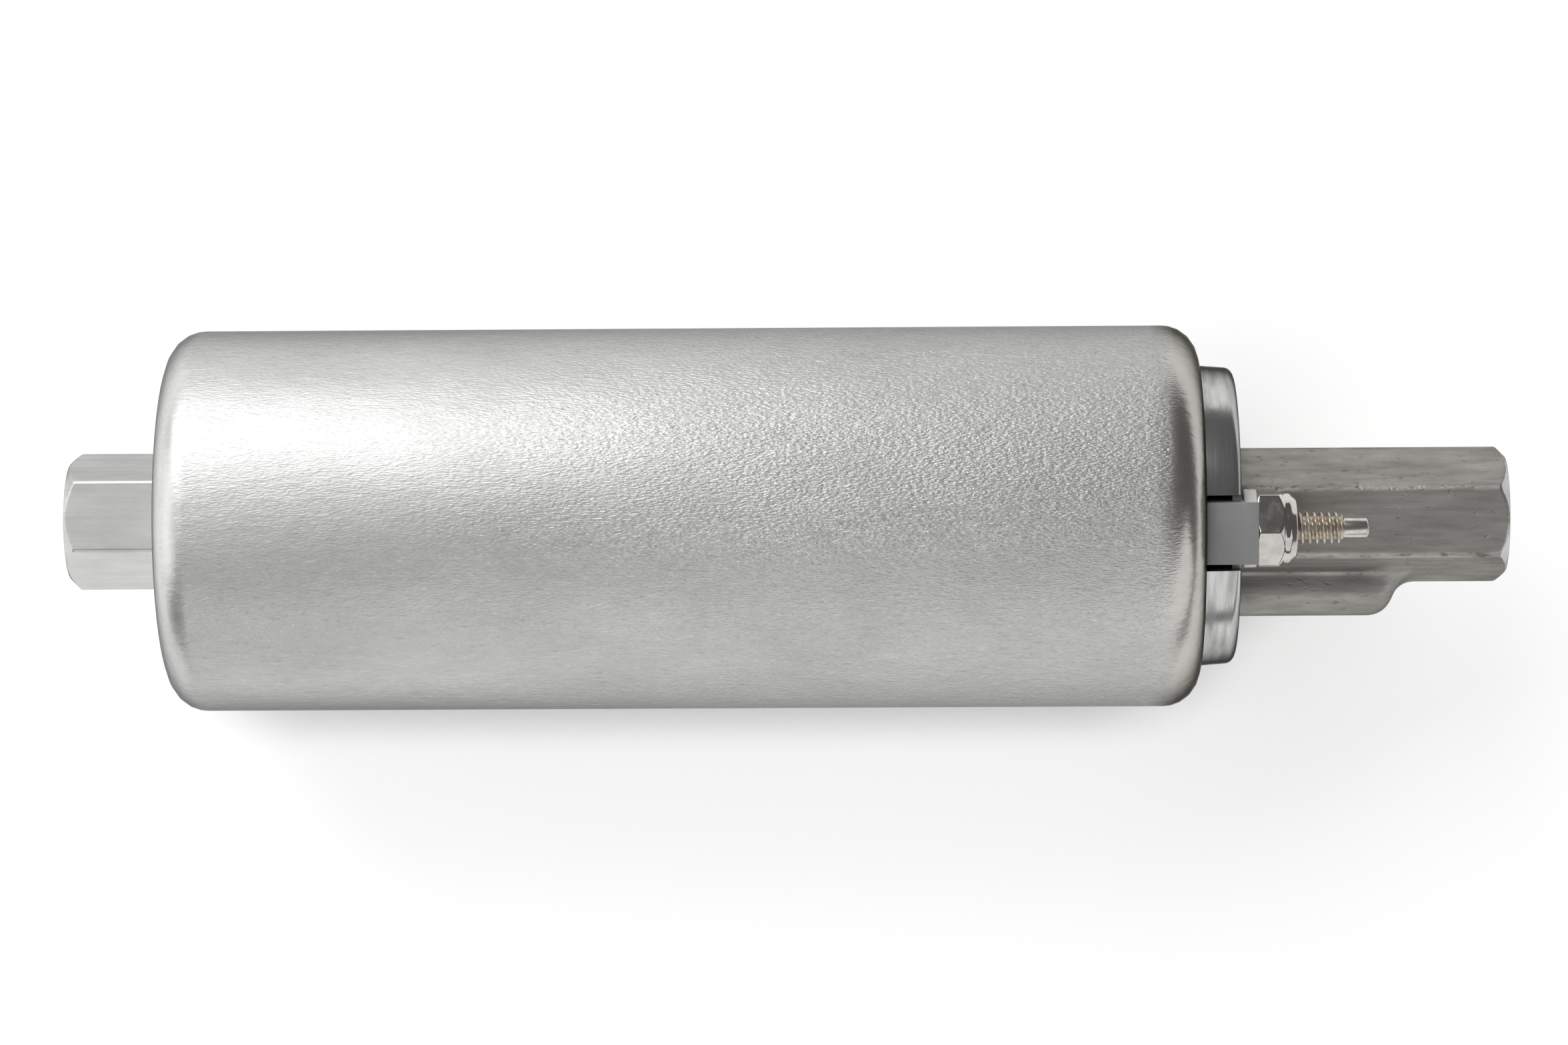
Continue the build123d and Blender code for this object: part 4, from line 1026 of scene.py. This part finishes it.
def soft_box(name, place, width, depth, radiance):
    """Soft box that faces the pump, as bright as its radiance whatever its size."""
    lamp = shown(name, bpy.data.lights.new(name, "AREA"))
    lamp.data.shape = "RECTANGLE"
    lamp.data.size = width
    lamp.data.size_y = depth
    lamp.data.energy = radiance * math.pi * width * depth
    lamp.location = place
    lamp.rotation_euler = (-Vector(place)).to_track_quat("-Z", "Y").to_euler()


def lay_floor():
    """White table top. Its diffuse part keeps the pump's real shadow, and its glow carries a painted
    shadow where the pump hides the floor towards the top soft box.
    """
    half = 1.5
    table = solid("table_top", [(-half, -half, FLOOR_HEIGHT), (half, -half, FLOOR_HEIGHT),
                                (half, half, FLOOR_HEIGHT), (-half, half, FLOOR_HEIGHT)], [(0, 1, 2, 3)])
    paper, nodes, links, shader = blank_finish("white_paper")
    shader.inputs["Base Color"].default_value = (0.82, 0.82, 0.82, 1)
    shader.inputs["Roughness"].default_value = 0.9
    shader.inputs["Specular IOR Level"].default_value = 0.1
    rays = nodes.new("ShaderNodeLightPath")
    seen = rays.outputs["Is Camera Ray"]
    for kind in ("Is Glossy Ray", "Is Transmission Ray"):
        seen = combined(nodes, links, "MAXIMUM", seen, rays.outputs[kind])
    # Painted shadow: the glow that camera, glossy and transmission rays see is dimmed by occlusion within
    # a short reach, looking towards the top soft box.
    painted_shadow_tilt = nodes.new("ShaderNodeCombineXYZ")
    painted_shadow_tilt.inputs["Y"].default_value = 0.75
    painted_shadow_tilt.inputs["Z"].default_value = 0.66
    painted_shadow_occlusion = nodes.new("ShaderNodeAmbientOcclusion")
    painted_shadow_occlusion.samples = 12
    painted_shadow_occlusion.inputs["Distance"].default_value = PAINTED_SHADOW_REACH
    glow = nodes.new("ShaderNodeEmission")
    both = nodes.new("ShaderNodeAddShader")
    links.new(painted_shadow_tilt.outputs["Vector"], painted_shadow_occlusion.inputs["Normal"])
    glow_with_painted_shadow = spread(nodes, links, painted_shadow_occlusion.outputs["AO"], 0.40, 0.78, 0.08, PAPER_GLOW)
    links.new(combined(nodes, links, "MULTIPLY", seen, glow_with_painted_shadow), glow.inputs["Strength"])
    links.new(shader.outputs["BSDF"], both.inputs[0])
    links.new(glow.outputs["Emission"], both.inputs[1])
    links.new(both.outputs["Shader"], nodes["Material Output"].inputs["Surface"])
    table.data.materials.append(paper)


stand_camera()
lay_floor()
soft_box("top_soft_box", (-0.36, 0.70, 0.54), 0.82, 0.85, 2.7)
soft_box("bottom_soft_box", (0.35, -0.68, 0.52), 1.9, 0.8, 0.90)
soft_box("overhead_soft_box", (-0.35, 0.0, 0.95), 0.8, 0.7, 0.70)
soft_box("left_soft_box", (-0.85, 0.0, 0.36), 1.0, 0.7, 1.15)
world = bpy.data.worlds.new("studio")
world.use_nodes = True
world.node_tree.nodes["Background"].inputs["Color"].default_value = (1, 1, 1, 1)
world.node_tree.nodes["Background"].inputs["Strength"].default_value = 0.13
bpy.context.scene.world = world
bpy.context.scene.view_settings.view_transform = "Standard"
